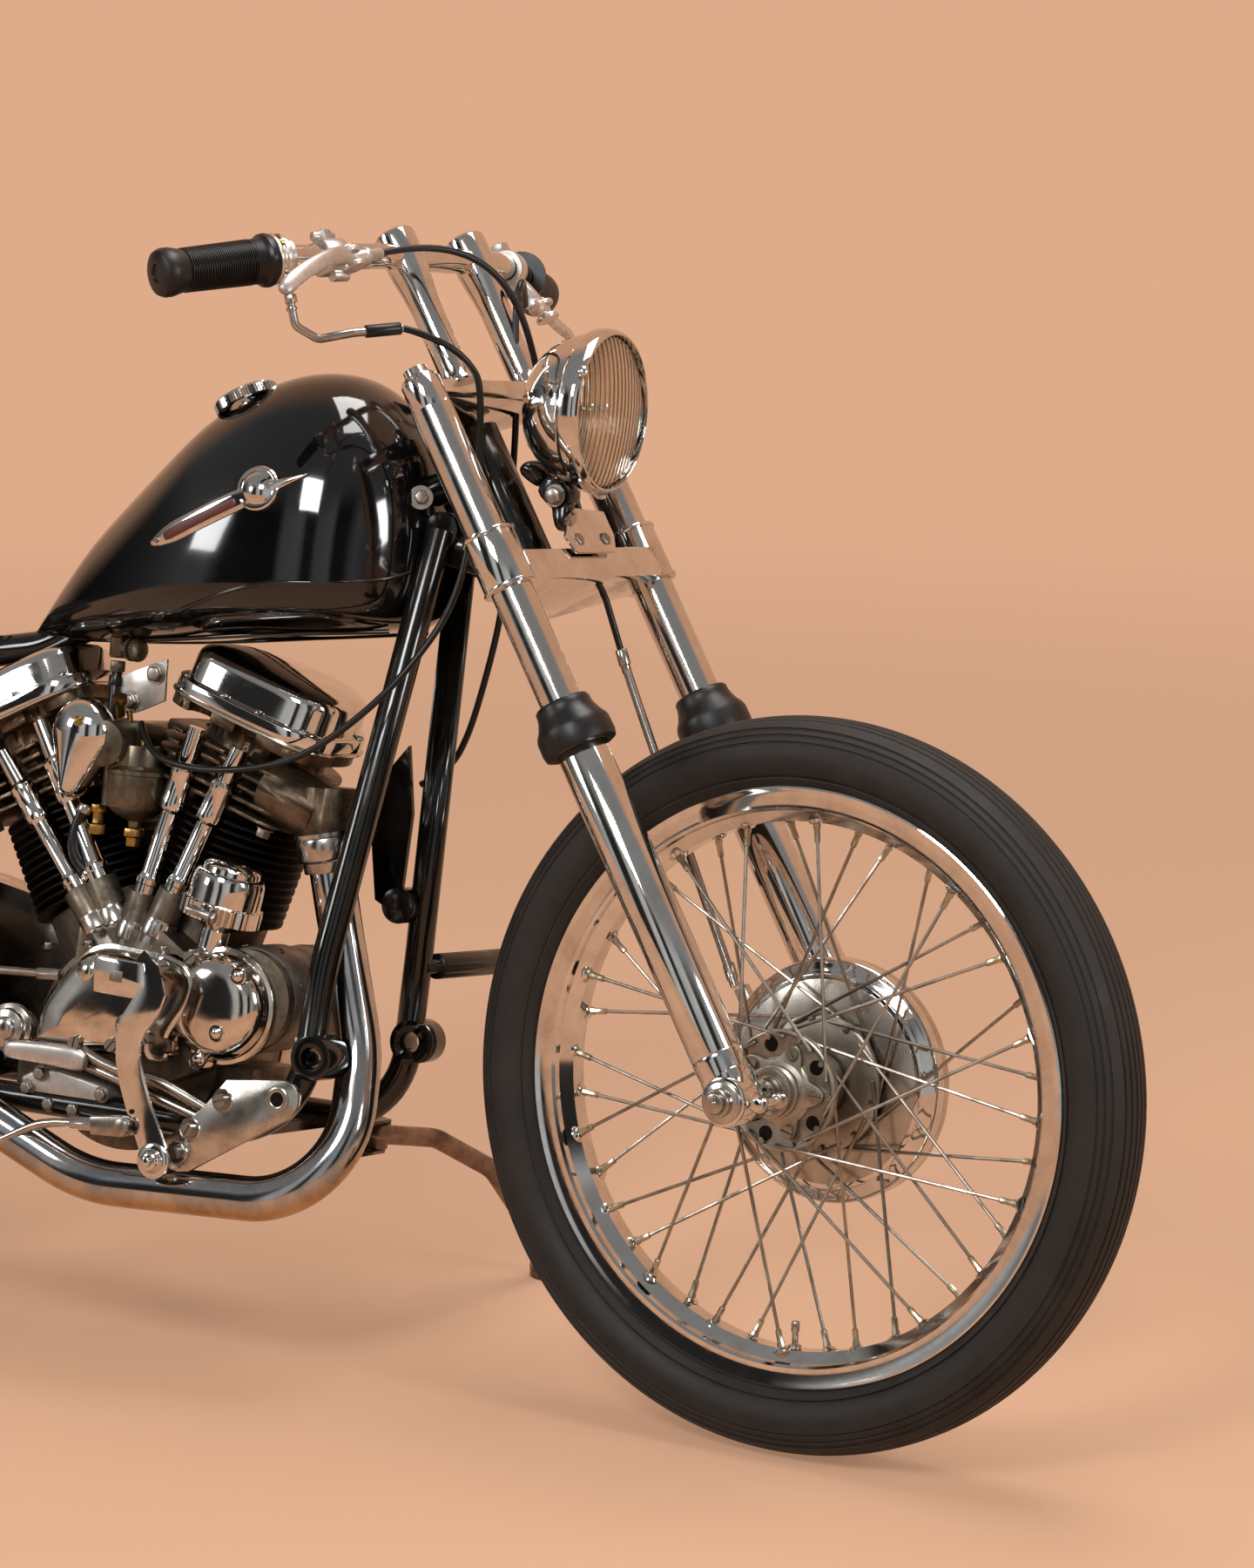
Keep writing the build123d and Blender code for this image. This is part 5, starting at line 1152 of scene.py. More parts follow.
# plain badge: a tapered bar with a fluted middle and a domed stud
badge = {"tail": (800, 806), "root": (905, 860), "tip": (969, 889), "stud": (920, 871), "studRadius": 22.5}
badgeParts = []
for side in (-1, 1):
    tail, root, tip = Vector(badge["tail"]), Vector(badge["root"]), Vector(badge["tip"])
    rows = []
    for step in range(13):
        share = step / 12
        at = tail.lerp(root, share / 0.62) if share < 0.62 else root.lerp(tip, (share - 0.62) / 0.38)
        wide = 2.0 + 8.4 * min(1, share / 0.14) if share < 0.62 else 10.4 * max(0.08,
            (1 - (share - 0.62) / 0.38)) ** 0.9
        place, away = onTank(at.x, at.y, 1.6, side)
        rows.append((place, 3.2 if share < 0.9 else 2.0, wide))
    badgeParts.append(bladeAlong("badgeBar", rows, Vector((0, side, 0)), 16, 2.6, 1))
    place, away = onTank(*badge["stud"], 0, side)
    r = badge["studRadius"]
    badgeParts.append(moved(turned("badgeStud", [(0, -4), (r, -4), (r, 2.0), (r - 1.4, 3.6), (r - 3.6, 3.8),
        (r - 4.6, 2.6), (r - 6, 2.8), (r - 9, 5.6), (6, 8.4), (0, 9)], 56), standing(place, away)))
settle(joined("tankBadges", badgeParts), "frame", "chrome", slot="chrome")
badgeFill = []
for side in (-1, 1):
    rows = [(onTank(x, 806 + (x - 800) * 0.514 - 1, 3.6, side)[0], 1.7, 5.4) for x in (817, 835, 853, 871, 889, 902)]
    badgeFill.append(bladeAlong("badgeFill", rows, Vector((0, side, 0)), 12, 3.5, 1))
settle(joined("badgeFill", badgeFill), "frame", "enamelOxblood", slot="gloss_black")
badgePins = [moved(screwMaster(head=3.0, rise=1.6), standing(onTank(x, z, 4.2, side)[0], onTank(x, z, 0, side)[1]))
    for side in (-1, 1) for x, z in ((811, 811.5), (935, 877))]
badgePins += [moved(boltMaster(across=7, rise=6, washer=12), standing((1052, side * 38, 876), (0.6, side, 0.25)))
    for side in (-1, 1)]
settle(joined("tankScrews", badgePins), "frame", "bare_steel", slot="bare_steel")
print("tank ready")

# engine
engine = {
    "crank": (785, 0, 308), "front": 17.5, "rear": -27.5, "coverBase": 352.0,
    "coverHalf": 93.0, "coverCorner": 38.0, "coverSide": -80.0, "coverBow": 8.0,
    # from cam gear to valve head, as in the solids
    "pushrods": [((795, -82, 431), (845, -76, 634)), ((827, -84, 437), (896, -76, 618)),
                 ((749, -84, 431), (618, -76, 586)), ((767, -80, 441), (660, -76, 622))],
}


def bankMatrix(lean):
    return Matrix.Translation(engine["crank"]) @ Matrix.Rotation(math.radians(lean), 4, "Y")


def coverRing(inset, z):
    # plan of a rocker cover: gently bowed on the right, a half round on the left
    reach, corner = engine["coverHalf"] - inset, max(engine["coverCorner"] - inset * 0.55, 5)
    low = engine["coverSide"] + inset
    ring = [Vector((reach * math.cos(a), -8 + reach * math.sin(a), z)) for a in [math.pi * i / 24 for i in range(25)]]
    for side, start in ((-1, math.pi), (1, 1.5 * math.pi)):
        ring += [Vector((side * (reach - corner) + corner * math.cos(a), low + corner + corner * math.sin(a), z))
                 for a in [start + math.pi / 2 * i / 8 for i in range(9)]]
        if side < 0:
            ring += [Vector(((reach - corner) * (i / 5 - 1), low, z)) for i in range(1, 10)]
    for at in ring:
        if at.y < low + corner:
            at.y -= engine["coverBow"] * (1 - (at.x / reach) ** 2) * (low + corner - at.y) / corner
    return ring


coverRows = [(8, 0), (1.6, 0.2), (0.4, 1.0), (0, 2.4), (0, 12.4), (0.5, 14), (1.8, 15), (3, 15.2), (6.4, 15.2),
    (7.4, 15.9), (7.8, 17.4), (8.8, 38), (9.8, 43), (12.4, 47), (17, 49.8), (24, 51.6), (36, 53), (50, 54),
    (66, 54.6)]
covers, coverScrews, gaskets = [], [], []
for lean in (engine["front"], engine["rear"]):
    bank = bankMatrix(lean) @ Matrix.Translation((0, 0, engine["coverBase"]))
    covers.append(moved(skinned("rockerCover", [coverRing(inset, z) for inset, z in coverRows]), bank))
    gaskets.append(moved(skinned("coverGasket", [coverRing(i, z) for i, z in ((9, -3.0), (0.2, -3.0), (-1.6, -2.2),
        (-2.2, -0.8), (-1.6, 0.6), (0.4, 1.4), (9, 1.4))]), bank))
    line = coverRing(3.9, 15.1)
    picks = [line[i] for i in (2, 7, 12, 17, 22, 30, 36, 40, 46)]
    coverScrews += copied(screwMaster(head=3.4, rise=3.0, slot=1.0),
        *[bank @ Matrix.Translation(at) @ Matrix.Rotation(at.x, 4, "Z") for at in picks])
rocker = joined("rockerCovers", covers)
settle(rocker, "frame", "chrome", node="rocker_covers", angle=32)
settle(joined("coverGaskets", gaskets), "frame", "polished_aluminium", slot="polished_aluminium")
settle(joined("coverScrews", coverScrews), "frame", "bare_steel", slot="bare_steel")
refined("cylinder_heads", "headBrown", 0.7)
refined("cylinders", "black_iron", 0.5)
refined("crankcase", "cast_aluminium", 1.6)

headBolts = []
for lean in (engine["front"], engine["rear"]):
    bank = bankMatrix(lean)
    for x, y in ((-62, -62), (62, -62), (62, 52), (-62, 52)):
        headBolts.append(moved(boltMaster(across=7.5, rise=9, washer=9), bank @ Matrix.Translation((x, y, 262))
            @ Matrix.Rotation(math.pi, 4, "X")))
settle(joined("headBolts", headBolts), "frame", "bare_steel", slot="bare_steel")

tubes, cups, bases = [], [], []
for foot, head in engine["pushrods"]:
    foot, head = Vector(foot), Vector(head)
    run = (head - foot).length
    rows = [(0, -2), (12.2, -2), (12.8, 0), (12.8, 4), (11.8, 6), (11.8, run * 0.20), (12.6, run * 0.205),
        (12.6, run * 0.23), (11.2, run * 0.24), (9.6, run * 0.26), (9.3, run * 0.56), (11.6, run * 0.575),
        (12.6, run * 0.58), (12.9, run * 0.59), (12.9, run * 0.62), (12.3, run * 0.63), (12.1, run * 0.74),
        (12.8, run * 0.75), (12.8, run * 0.775), (11.4, run * 0.785), (8.8, run * 0.80), (8.4, run * 0.985),
        (0, run * 0.985)]
    tubes.append(moved(turned("pushrodTube", rows, 40), standing(foot, head - foot)))
    cups.append(moved(turned("tappetCup", [(0, -16), (16.4, -16), (17.6, -14.6), (17.6, -2), (16.6, 0), (16.6, 3),
        (15.4, 4.4), (13, 4.6), (0, 4.6)], 40), standing(foot, head - foot)))
    base = turned("tappetBlock", [(0, -52), (19, -52), (17.5, -30), (16.8, -15), (0, -15)], 8, 1.5)
    bases.append(moved(base, standing(foot, head - foot)))
settle(joined("pushrodTubes", tubes), "frame", "chrome", node="pushrod_tubes", angle=30)
settle(joined("tappetCups", cups), "frame", "polishedSteel", slot="bare_steel")
tappetScrews = [moved(boltMaster(across=4.6, rise=4.5, washer=6.5), standing(at, (0, -0.35, 1))) for at in
                ((706, -96, 398), (812, -98, 398), (757, -103, 406), (841, -96, 410), (768, -103, 420))]
settle(joined("tappetBlocks", bases), "frame", "generatorGrey", slot="cast_aluminium")
settle(joined("tappetBolts", tappetScrews), "frame", "bare_steel", slot="bare_steel")

# cam cover: a polished cover with two bosses, then the round end of the generator drive
camCover = {"step": [(852, 406), (874, 407), (890, 399), (898, 384), (894, 364), (882, 345), (873, 328), (876, 312),
    (862, 303), (846, 312), (846, 360)], "outline": [(714, 300), (714, 326), (719, 347), (733, 370), (750, 391),
    (766, 404), (786, 409), (812, 408), (838, 406), (856, 403), (870, 391), (874, 372), (871, 350), (862, 330),
    (850, 314), (828, 306), (790, 302), (750, 299)], "gear": (916, 364)}


edgeInset = 10      # mm; deeper insets shrink an outline towards its middle


def sideRing(points, inset, y, steps=4):
    # a smooth closed outline in (x, z), drawn in by inset, at one depth
    count = len(points)
    middle = Vector((sum(p[0] for p in points) / count, sum(p[1] for p in points) / count))
    smoothRing = []
    for index in range(count):
        four = [points[(index + k) % count] for k in (-1, 0, 1, 2)]
        for step in range(steps):
            smoothRing.append(Vector(onCurve(four, step / steps)))
    ring = []
    for index, at in enumerate(smoothRing):
        along = smoothRing[(index + 1) % len(smoothRing)] - smoothRing[index - 1]
        inward = Vector((along.y, -along.x)).normalized()
        if inward.dot(middle - at) < 0:
            inward = -inward
        reach = min(inset, (middle - at).length * 0.94)
        aim = at + inward * reach
        if inset >= edgeInset:
            aim = at + inward * edgeInset + (middle - at - inward * edgeInset).normalized() * min(
                inset - edgeInset, (middle - at).length * 0.9 - edgeInset)
        ring.append(Vector((aim.x, y, aim.y)))
    return ring


body = skinned("camCoverBody", [sideRing(camCover["outline"], i, y) for i, y in ((-1, -96), (-1.5, -104), (-1, -106),
    (3, -107), (4, -109), (5, -119), (7, -126), (10, -130.5), (14, -133), (20, -134.6), (32, -136), (44, -136.6))])
gearX, gearZ = camCover["gear"]
drive = turned("driveEnd", [(0, 60), (50, 60), (50, 96), (57.5, 96), (58.2, 97), (58.2, 103), (57.5, 104),
    (53.5, 105), (52.6, 107), (51.6, 113), (49, 120), (44, 126), (38, 129.4), (28, 131.4), (14, 132.4), (0, 132.6)],
    96)
drive = moved(drive, standing((gearX, 0, gearZ), rightward))
domes = [moved(turned("coverDome", [(0, -4), (16, -4), (15, 1), (12, 5.4), (7, 8), (0, 9)], 40), standing(at, way))
    for at, way in (((775, -128, 384), (-0.15, -1, 0.2)), ((827, -130, 335), (0.1, -1, -0.1)))]
# a flat flange with a soft S-shaped edge laps over the dome beside it
stepRidge = skinned("coverStep", [sideRing(camCover["step"], i, y) for i, y in ((0, -112), (0, -129), (1.2, -131),
    (4, -132), (9, -132.2))])
for at, size in (((946, -129, 398), 9), ((928, -131, 340), 9), ((905, -124, 312), 7)):
    domes.append(moved(turned("coverBoss", [(0, -12), (size, -12), (size, 0), (size - 1.4, 1.6), (0, 1.6)], 32),
        standing(at, rightward)))
    domes.append(moved(turned("coverBolt", [(0, 0), (size * 0.6, 0), (size * 0.6, 3.4), (size * 0.4, 5), (0, 5.4)],
        24), standing(at, rightward)))
settle(joined("camCover", [body, drive, stepRidge] + domes), "frame", "polishedCase", node="cam_cover", angle=40)
band = turned("generatorBand", [(0, -70), (46, -70), (49.4, -66), (50, -60), (50, -20), (50.6, -19), (50.6, -14),
    (50, -13), (50, 30), (52.4, 31), (53, 33), (53, 82), (51, 86), (0, 86)], 96)
settle(moved(band, standing((937, 0, 372), rightward)), "frame", "generatorGrey", node="generator", angle=30)
yokeScrews = [moved(screwMaster(head=4.6, rise=5, slot=1.2),
    standing((937 + 50 * math.cos(a), -y, 372 + 50 * math.sin(a)), (math.cos(a), 0, math.sin(a))))
    for a, y in ((1.2, 70), (2.0, 70), (0.35, 74))]
caseScrews = [moved(screwMaster(head=6.4, rise=6, slot=1.5), standing((x, y, z), rightward, turn))
    for x, y, z, turn in ((888, -122, 409, 0.7), (748, -104, 380, 0), (724, -104, 337, 0.5), (720, -106, 309, 1.0),
    (862, -128, 398, 0.2), (812, -132, 314, 0.9), (770, -132, 311, 1.4), (850, -131, 326, 2.2))]
caseCollars = [moved(turned("screwBoss", [(0, -14), (10.5, -14), (9.8, -2), (8.6, 0.4), (0, 0.6)], 32),
    standing((x, y, z), rightward)) for x, y, z in ((942, -122, 398), (927, -128, 338), (903, -122, 309),
    (888, -122, 409))]
settle(joined("caseBosses", caseCollars), "frame", "polishedCase", slot="polished_aluminium")
settle(joined("caseScrews", yokeScrews + caseScrews), "frame", "bare_steel", slot="bare_steel")

# timer: a domed cap with a knurled clamp band
timerPlace = standing((888, -94, 398), (math.sin(math.radians(12)), 0, math.cos(math.radians(12))))
timerBody = turned("timer", [(0, 0), (14, 0), (14, 40), (20, 44), (34, 49), (36.6, 50), (40.4, 51), (40.4, 67),
    (37.4, 68.2), (36.6, 69), (36.2, 84), (35.4, 92), (33.6, 96), (31, 97.6), (29, 98), (28.4, 103), (24.6, 107),
    (17, 110.4), (8, 112), (0, 112.4)], 120)
settle(moved(knurl(timerBody, 40, 2.2, 84), timerPlace), "frame", "chrome", node="timer", angle=30)
clampScrew = [rodBetween("timerClamp", (886, -136, 458), (912, -134, 452), 4.0, 18, 0.6),
              moved(boltMaster(across=6.2, rise=5, washer=8), standing((912, -134, 452), (1, 0.1, -0.2)))]
settle(joined("timerClamp", clampScrew), "frame", "bare_steel", slot="bare_steel")

# teardrop air cleaner with two brass screws

def dropRing(grow, y):
    # tangent outline round the large circle above and the small one below
    (xa, za, ra), (xb, zb, rb) = (731, 616, 33 - grow), (724, 562, 12.5 - grow * 0.6)
    ra, rb = max(ra, 1.6), max(rb, 0.8)
    away = math.atan2(zb - za, xb - xa)
    opening = math.acos((ra - rb) / math.hypot(xb - xa, zb - za))
    ring = []
    for i in range(21):
        a = away + opening + (2 * math.pi - 2 * opening) * i / 20
        ring.append(Vector((xa + ra * math.cos(a), y, za + ra * math.sin(a))))
    for i in range(11):
        a = away - opening + 2 * opening * i / 10
        ring.append(Vector((xb + rb * math.cos(a), y, zb + rb * math.sin(a))))
    return ring


cleaner = skinned("airCleaner", [dropRing(g, y) for g, y in ((0, -96), (-1, -99), (-1, -104), (0, -108), (2, -112.4),
    (5, -116.4), (9, -119.6), (14, -122.4), (20, -124.6), (26, -125.8), (31, -126.2))])
neck = rodBetween("cleanerNeck", (740, -40, 604), (734, -98, 608), 24, 40, 2)
settle(joined("airCleaner", [cleaner, neck]), "frame", "chrome", node="air_cleaner", angle=45)
settle(joined("cleanerScrews", [moved(screwMaster(head=5.0, rise=3.6), standing(at, rightward, turn))
    for at, turn in (((737, -122.6, 627), 0.6), ((716, -116.4, 588), 1.9))]), "frame", "brass", slot="bare_steel")
refined("carburettor", "brassNickelOily", 0.8)
bowl = moved(turned("carbBowl", [(0, -20), (6, -20), (7, -14), (20, -8), (27, -2), (30.5, 4), (31.2, 8), (31.2, 32),
    (33.4, 33), (33.4, 37), (31.4, 38), (29, 42), (0, 42)], 72), Matrix.Translation((779, -72, 545)))
settle(bowl, "frame", "brassNickelOily", slot="cast_aluminium")
stemParts = [moved(turned("bowlDrain", [(0, 0), (8, 0), (8, 9), (11, 10), (11, 18), (0, 18)], 6, 0.8),
    Matrix.Translation((779, -72, 506)))]
stemParts += [moved(turned("banjoNut", [(0, 0), (9, 0), (9, 10), (6, 11), (6, 22), (8, 22), (8, 30), (0, 30)], 6,
    0.6), Matrix.Translation((737, -74, 514)))]
stemParts += [rodBetween("linkRod", (757, -64, 640), (766, -60, 590), 3, 12), rodBetween("jetNeedle", (779, -72, 584),
    (779, -72, 612), 5, 20, 0.8)]
stemParts += [moved(turned("chokeStem", [(0, 0), (5.6, 0), (5.6, 14), (7.6, 15), (7.6, 22), (0, 22)], 20, 0.4),
    standing((748, -66, 634), (0.2, -0.5, 1)))]
settle(joined("carbFittings", stemParts), "frame", "brass", slot="bare_steel")
hose = tubeAlong("breatherHose", [(725, -80, 541), (716, -84, 515), (718, -86, 492), (728, -84, 480),
    (742, -80, 470)], 6.5, 16, 8)
settle(hose, "frame", "cable_sheath", slot="cable_sheath")
hoseClips = [moved(turned("hoseClip", [(6, -4), (7.8, -4), (7.8, 4), (6, 4)], 24, 0.3), standing(at, way))
    for at, way in (((725, -80, 538), (0.4, 0.2, 1)), ((738, -81.5, 473), (-0.6, 0, 0.5)))]
settle(joined("hoseClips", hoseClips), "frame", "polishedSteel", slot="bare_steel")

# fuel tap with its elbow, nut and wing
tapParts = [moved(turned("tapBody", [(0, 0), (8, 0), (9.6, 2), (9.6, 20), (11.5, 21), (11.5, 27), (8, 29), (0, 29)],
    32, 0.4), Matrix.Translation((727, -44, 690))), moved(turned("tapNut", [(0, 0), (8.6, 0), (8.6, 11), (0, 11)], 6,
    0.8), Matrix.Translation((727, -44, 676))), rodBetween("tapArm", (727, -44, 702), (744, -50, 700), 6, 24, 0.6),
    knurl(turned("tapKnob", [(0, 0), (10, 0), (12, 1), (12, 5), (7, 6), (7, 9), (12, 10), (12, 14), (10, 15),
    (0, 15)], 48), 11.5, 0.9, 48)]
tapParts[-1] = moved(tapParts[-1], standing((744, -50, 700), (1, -0.35, 0)))
settle(joined("fuelTap", tapParts), "frame", "brassNickelOily", node="fuel_tap")
settle(joined("tapPipe", [rodBetween("tapPipe", (727, -44, 677), (729, -52, 618), 5.4, 20, 0.4),
    rodBetween("tapFerrule", (727, -44.5, 672), (727, -46, 662), 7.4, 24, 0.5)]), "frame", "cable_sheath",
    slot="cable_sheath")
mountPlate = [(733, 673), (785, 694), (786, 652), (760, 640), (743, 634), (735, 646)]
mount = moved(plate("topMount", mountPlate, 0, 4, 0.8),
    Matrix(((1, 0, 0, 0), (0, 0, 1, -46), (0, 1, 0, 0), (0, 0, 0, 1))))
settle(mount, "frame", "castAluminiumBright", slot="cast_aluminium")
mountBolt = [moved(boltMaster(across=8, rise=7, washer=11), standing((x, -46, z), rightward))
    for x, z in ((746, 648), (774, 678))]
settle(joined("mountBolts", mountBolt), "frame", "bare_steel", slot="bare_steel")

# exhaust collar clamp with its bead
collarWay = (Vector((990, -55.6, 536)) - Vector((1008, -46, 450))).normalized()
collar = turned("exhaustCollar", [(22.6, -6), (26.4, -6), (27, -5), (27, 4), (29.4, 6), (30.6, 8), (30.6, 26),
    (29.6, 28), (31.6, 29), (31.6, 33), (29, 34), (22.6, 34)], 72)
settle(moved(collar, standing(Vector((990, -55.6, 536)) - collarWay * 26, collarWay)), "frame", "polishedSteel",
    slot="bare_steel")
refined("exhaust_pipes", "exhaust", 0.4, 40)
refined("muffler", "exhaust", 1.0, 40)
print("engine ready")

# foot controls, lines and rods
def strapAlong(name, rows, thick=4.0):
    # a bent flat strap: rows of (point, half width); its face looks outwards
    return bladeAlong(name, [(at, thick / 2, wide) for at, wide in rows], (0, 1, 0), 12, 5.0, 0)


footPlate = [(1024, 302), (1014, 305), (949, 298), (926, 268), (883, 228), (880, 214), (888, 204), (903, 201),
    (915, 203), (1024, 270), (1031, 282), (1031, 294)]
toSide = Matrix(((1, 0, 0, 0), (0, 0, -1, 0), (0, 1, 0, 0), (0, 0, 0, 1)))       # (x, y, h) to (x, -h, z)
base = moved(plate("footPlate", footPlate, 134, 141, 1.2), toSide)
plateBosses = [moved(turned("plateBoss", [(0, -6), (13, -6), (12, 2), (10.5, 3.4), (0, 3.6)], 36),
    standing((x, -139, z), rightward)) for x, z in ((947, 277), (913, 244), (901, 220), (886, 213))]
eye = moved(turned("plateEye", [(7, 0), (12.5, 0), (12.5, 2.4), (11, 3.4), (8, 3.4), (7, 2.6)], 36),
    standing((1008, -140, 286), rightward))
# a thin black disc in the plate's eye paints the shade inside its hole
eyeHoleShade = moved(turned("plateHoleShade", [(0, 0), (7.4, 0), (7.4, 1.2), (0, 1.2)], 28), standing((1008, -140.4, 286),
    rightward))
settle(joined("footPlate", [base, eye] + plateBosses), "frame", "polishedSteel", node="control_plate", angle=40)
settle(eyeHoleShade, "frame", "black_iron", slot="bare_steel")
plateScrews = [moved(screwMaster(head=6.2, rise=5, slot=1.5), standing((x, -142.4, z), rightward, turn))
    for x, z, turn in ((947, 277, 0.3), (913, 244, 1.1), (901, 220, 2))]
settle(joined("plateScrews", plateScrews), "frame", "bare_steel", slot="bare_steel")

# brake pedal: a wavy chromed strap with a square tread plate
pedalRows = [((886, -158, 208), 15), ((884, -158, 222), 15.5), ((873, -158, 244), 15), ((864, -159, 262), 14.5),
    ((855, -161, 286), 14.5), ((850, -162, 306), 14.5), ((849, -163, 324), 15), ((855, -165, 342), 16),
    ((866, -166, 358), 17), ((872, -166, 374), 17), ((866, -165, 390), 17), ((850, -164, 400), 17)]
pedal = strapAlong("brakePedal", pedalRows, 5.0)
tread = moved(plate("pedalTread", [(806, 368), (858, 366), (866, 380), (862, 402), (808, 404), (804, 398)], 163, 168,
    1.6), toSide)
slotted = moved(plate("treadSlot", [(824, 381), (838, 380), (839, 391), (825, 392)], 167, 169, 0.6), toSide)
hub = moved(turned("pedalHub", [(5.2, -3), (17, -3), (17.6, -2), (17.6, 3), (16, 4), (12, 4.4), (11.6, 6), (9.6, 8),
    (9, 12), (6.4, 13.6), (5.2, 13.6)], 48), standing((886, -158, 211), rightward))
pin = rodBetween("pedalPin", (886, -140, 211), (886, -176, 211), 5.0, 24, 1.4)
settle(joined("brakePedal", [pedal, tread, hub, pin]), "frame", "chrome", node="brake_pedal", angle=45)
settle(slotted, "frame", "generatorGrey", slot="cast_aluminium")
# small black domes in the pedal's holes paint the shade inside them
pedalHoleShades = [moved(turned("pedalHoleShadeDot", [(0, -1), (2.8, -1), (2.2, 1.4), (0, 2)], 16), standing((x, -163.6 + 2, z),
    rightward)) for x, z in ((850, 330), (858, 256), (862, 240))]
settle(joined("pedalHoleShadeDots", pedalHoleShades), "frame", "black_iron", slot="bare_steel")

# oil lines, brake rod with its fork end, and the short cast lever
lines = [tubeAlong("oilLine", [(770, -126, 306), (790, -128, 298), (812, -130, 290), (858, -130, 286),
    (880, -128, 281), (903, -122, 269), (928, -114, 258)], 6.0, 20, 8),
    tubeAlong("oilLine", [(764, -118, 292), (790, -120, 286), (815, -122, 281), (848, -122, 271), (880, -118, 261),
    (924, -106, 247)], 6.0, 20, 8)]
settle(joined("oilLines", lines), "frame", "polishedSteel", slot="bare_steel")
brakeRod = [tubeAlong("brakeRod", [(430, -176, 176), (560, -172, 184), (668, -162, 190), (705, -158, 205),
    (738, -154, 226), (760, -153, 233), (790, -153, 235)], 4.6, 16, 8), rodBetween("rodAdjuster", (786, -153, 235),
    (812, -154, 237), 7.2, 6, 0.8), rodBetween("rodNut", (812, -154, 237), (818, -154, 237.4), 8.4, 6, 0.8)]
forkEnd = [bladeAlong("rodFork", [((816, y, 237), 2.2, 9), ((832, y, 238.5), 2.2, 10), ((850, y, 240), 2.2, 10.5),
    ((860, y, 240.5), 2.0, 8)], (0, 1, 0), 12, 3, 0) for y in (-151.4, -166)]
forkPin = [rodBetween("forkPin", (852, -147, 240), (852, -171, 240), 4.4, 20, 0.8),
    moved(turned("forkPinHead", [(0, 0), (8.4, 0), (8.4, 3), (6, 4), (0, 4)], 28), standing((852, -168.4, 240),
    rightward))]
settle(joined("brakeLinkage", brakeRod + forkEnd + forkPin), "frame", "polishedSteel", slot="bare_steel")
pumpLid = [(696, 268), (716, 279), (742, 281), (772, 276), (799, 270), (805, 260), (790, 248), (764, 238), (738, 238),
    (716, 243), (702, 252)]
pump = moved(plate("pumpLid", pumpLid, 84, 116, 5.0, 4), toSide)
leverCast = bladeAlong("castLever", [((688, -140, 296), 5, 9), ((716, -138, 297), 6, 10.5),
    ((746, -136, 297), 7, 11.5), ((770, -134, 296), 8, 12.5), ((786, -132, 293), 7, 10)], (0, 1, 0), 16, 3.2, 1)
settle(joined("pumpAndLever", [pump, leverCast]), "frame", "castAluminiumBright", slot="cast_aluminium")
pumpNuts = [moved(boltMaster(across=6.6, rise=6, washer=8.4), standing((x, -116, z), rightward))
    for x, z in ((708, 258), (735, 245), (764, 243), (795, 262), (722, 274))]
linkRod = [rodBetween("linkRod", (560, -122, 366), (733, -121, 374), 4.0, 16, 0.5),
    rodBetween("linkEnd", (712, -121.2, 373), (738, -121, 374.4), 6.4, 6, 0.6)]
settle(joined("pumpNuts", pumpNuts + linkRod), "frame", "bare_steel", slot="bare_steel")
nutStack = moved(turned("shaftEnd", [(0, -30), (17, -30), (17, -12), (24, -11), (25, -9), (25, -3), (20, -2), (19, 4),
    (12, 5), (11.4, 10), (7, 12), (0, 12)], 6 * 6, 0.4), standing((690, -134, 316), rightward))
settle(nutStack, "frame", "polishedSteel", slot="bare_steel")
print("controls ready")

# seat, tail and drive side
seat = {"outline": [(276, 0), (279, 44), (298, 92), (336, 118), (372, 126), (412, 112), (450, 90), (482, 62),
    (506, 40), (526, 24), (533, 0), (526, -24), (506, -40), (482, -62), (450, -90), (412, -112), (372, -126),
    (336, -118), (298, -92), (279, -44)], "floor": 707.4, "voxel": 5.0, "pressure": 4.0, "swell": 7.0, "frames": 20}


def planRing(points, inset, z, steps=4):
    return [Vector((at.x, at.z, z)) for at in sideRing(points, inset, 0, steps)]


def stuffed(piece, settings):
    # the cover is blown up a little, as stuffing does, and held near its pattern
    remesh = piece.modifiers.new("even", "REMESH")
    remesh.mode, remesh.voxel_size = "VOXEL", settings["voxel"] * mm
    applyAll(piece)
    before = [v.co.copy() for v in piece.data.vertices]
    cover = piece.modifiers.new("cover", "CLOTH")
    cover.settings.use_pressure, cover.settings.uniform_pressure_force = True, settings["pressure"]
    cover.settings.effector_weights.gravity = 0
    cover.settings.tension_stiffness = cover.settings.compression_stiffness = 20
    cover.point_cache.frame_start, cover.point_cache.frame_end = 1, settings["frames"]
    for step in range(1, settings["frames"] + 1):
        scene.frame_set(step)
    applyAll(piece)
    scene.frame_set(1)
    reach = settings["swell"] * mm
    for v, at in zip(piece.data.vertices, before):
        gone = v.co - at
        if gone.length > reach:
            v.co = at + gone * (reach / gone.length)
    return piece


cushionRows = [(6, 0), (1, 0.4), (-0.5, 4), (0, 12), (1, 19), (5, 25), (12, 29.4), (22, 32.4), (36, 34.4), (52, 35.2),
    (70, 35.4)]
cushion = skinned("seatCushion", [planRing(seat["outline"], i, seat["floor"] + z) for i, z in cushionRows])
cushion.data.transform(frameMatrix)
stuffed(cushion, seat)
finer = cushion.modifiers.new("soften", "SUBSURF")
finer.levels = finer.render_levels = 1
applyAll(cushion)
settle(cushion, "frame", "seat_leather", Matrix.Identity(4), "seat_cushion", angle=60)


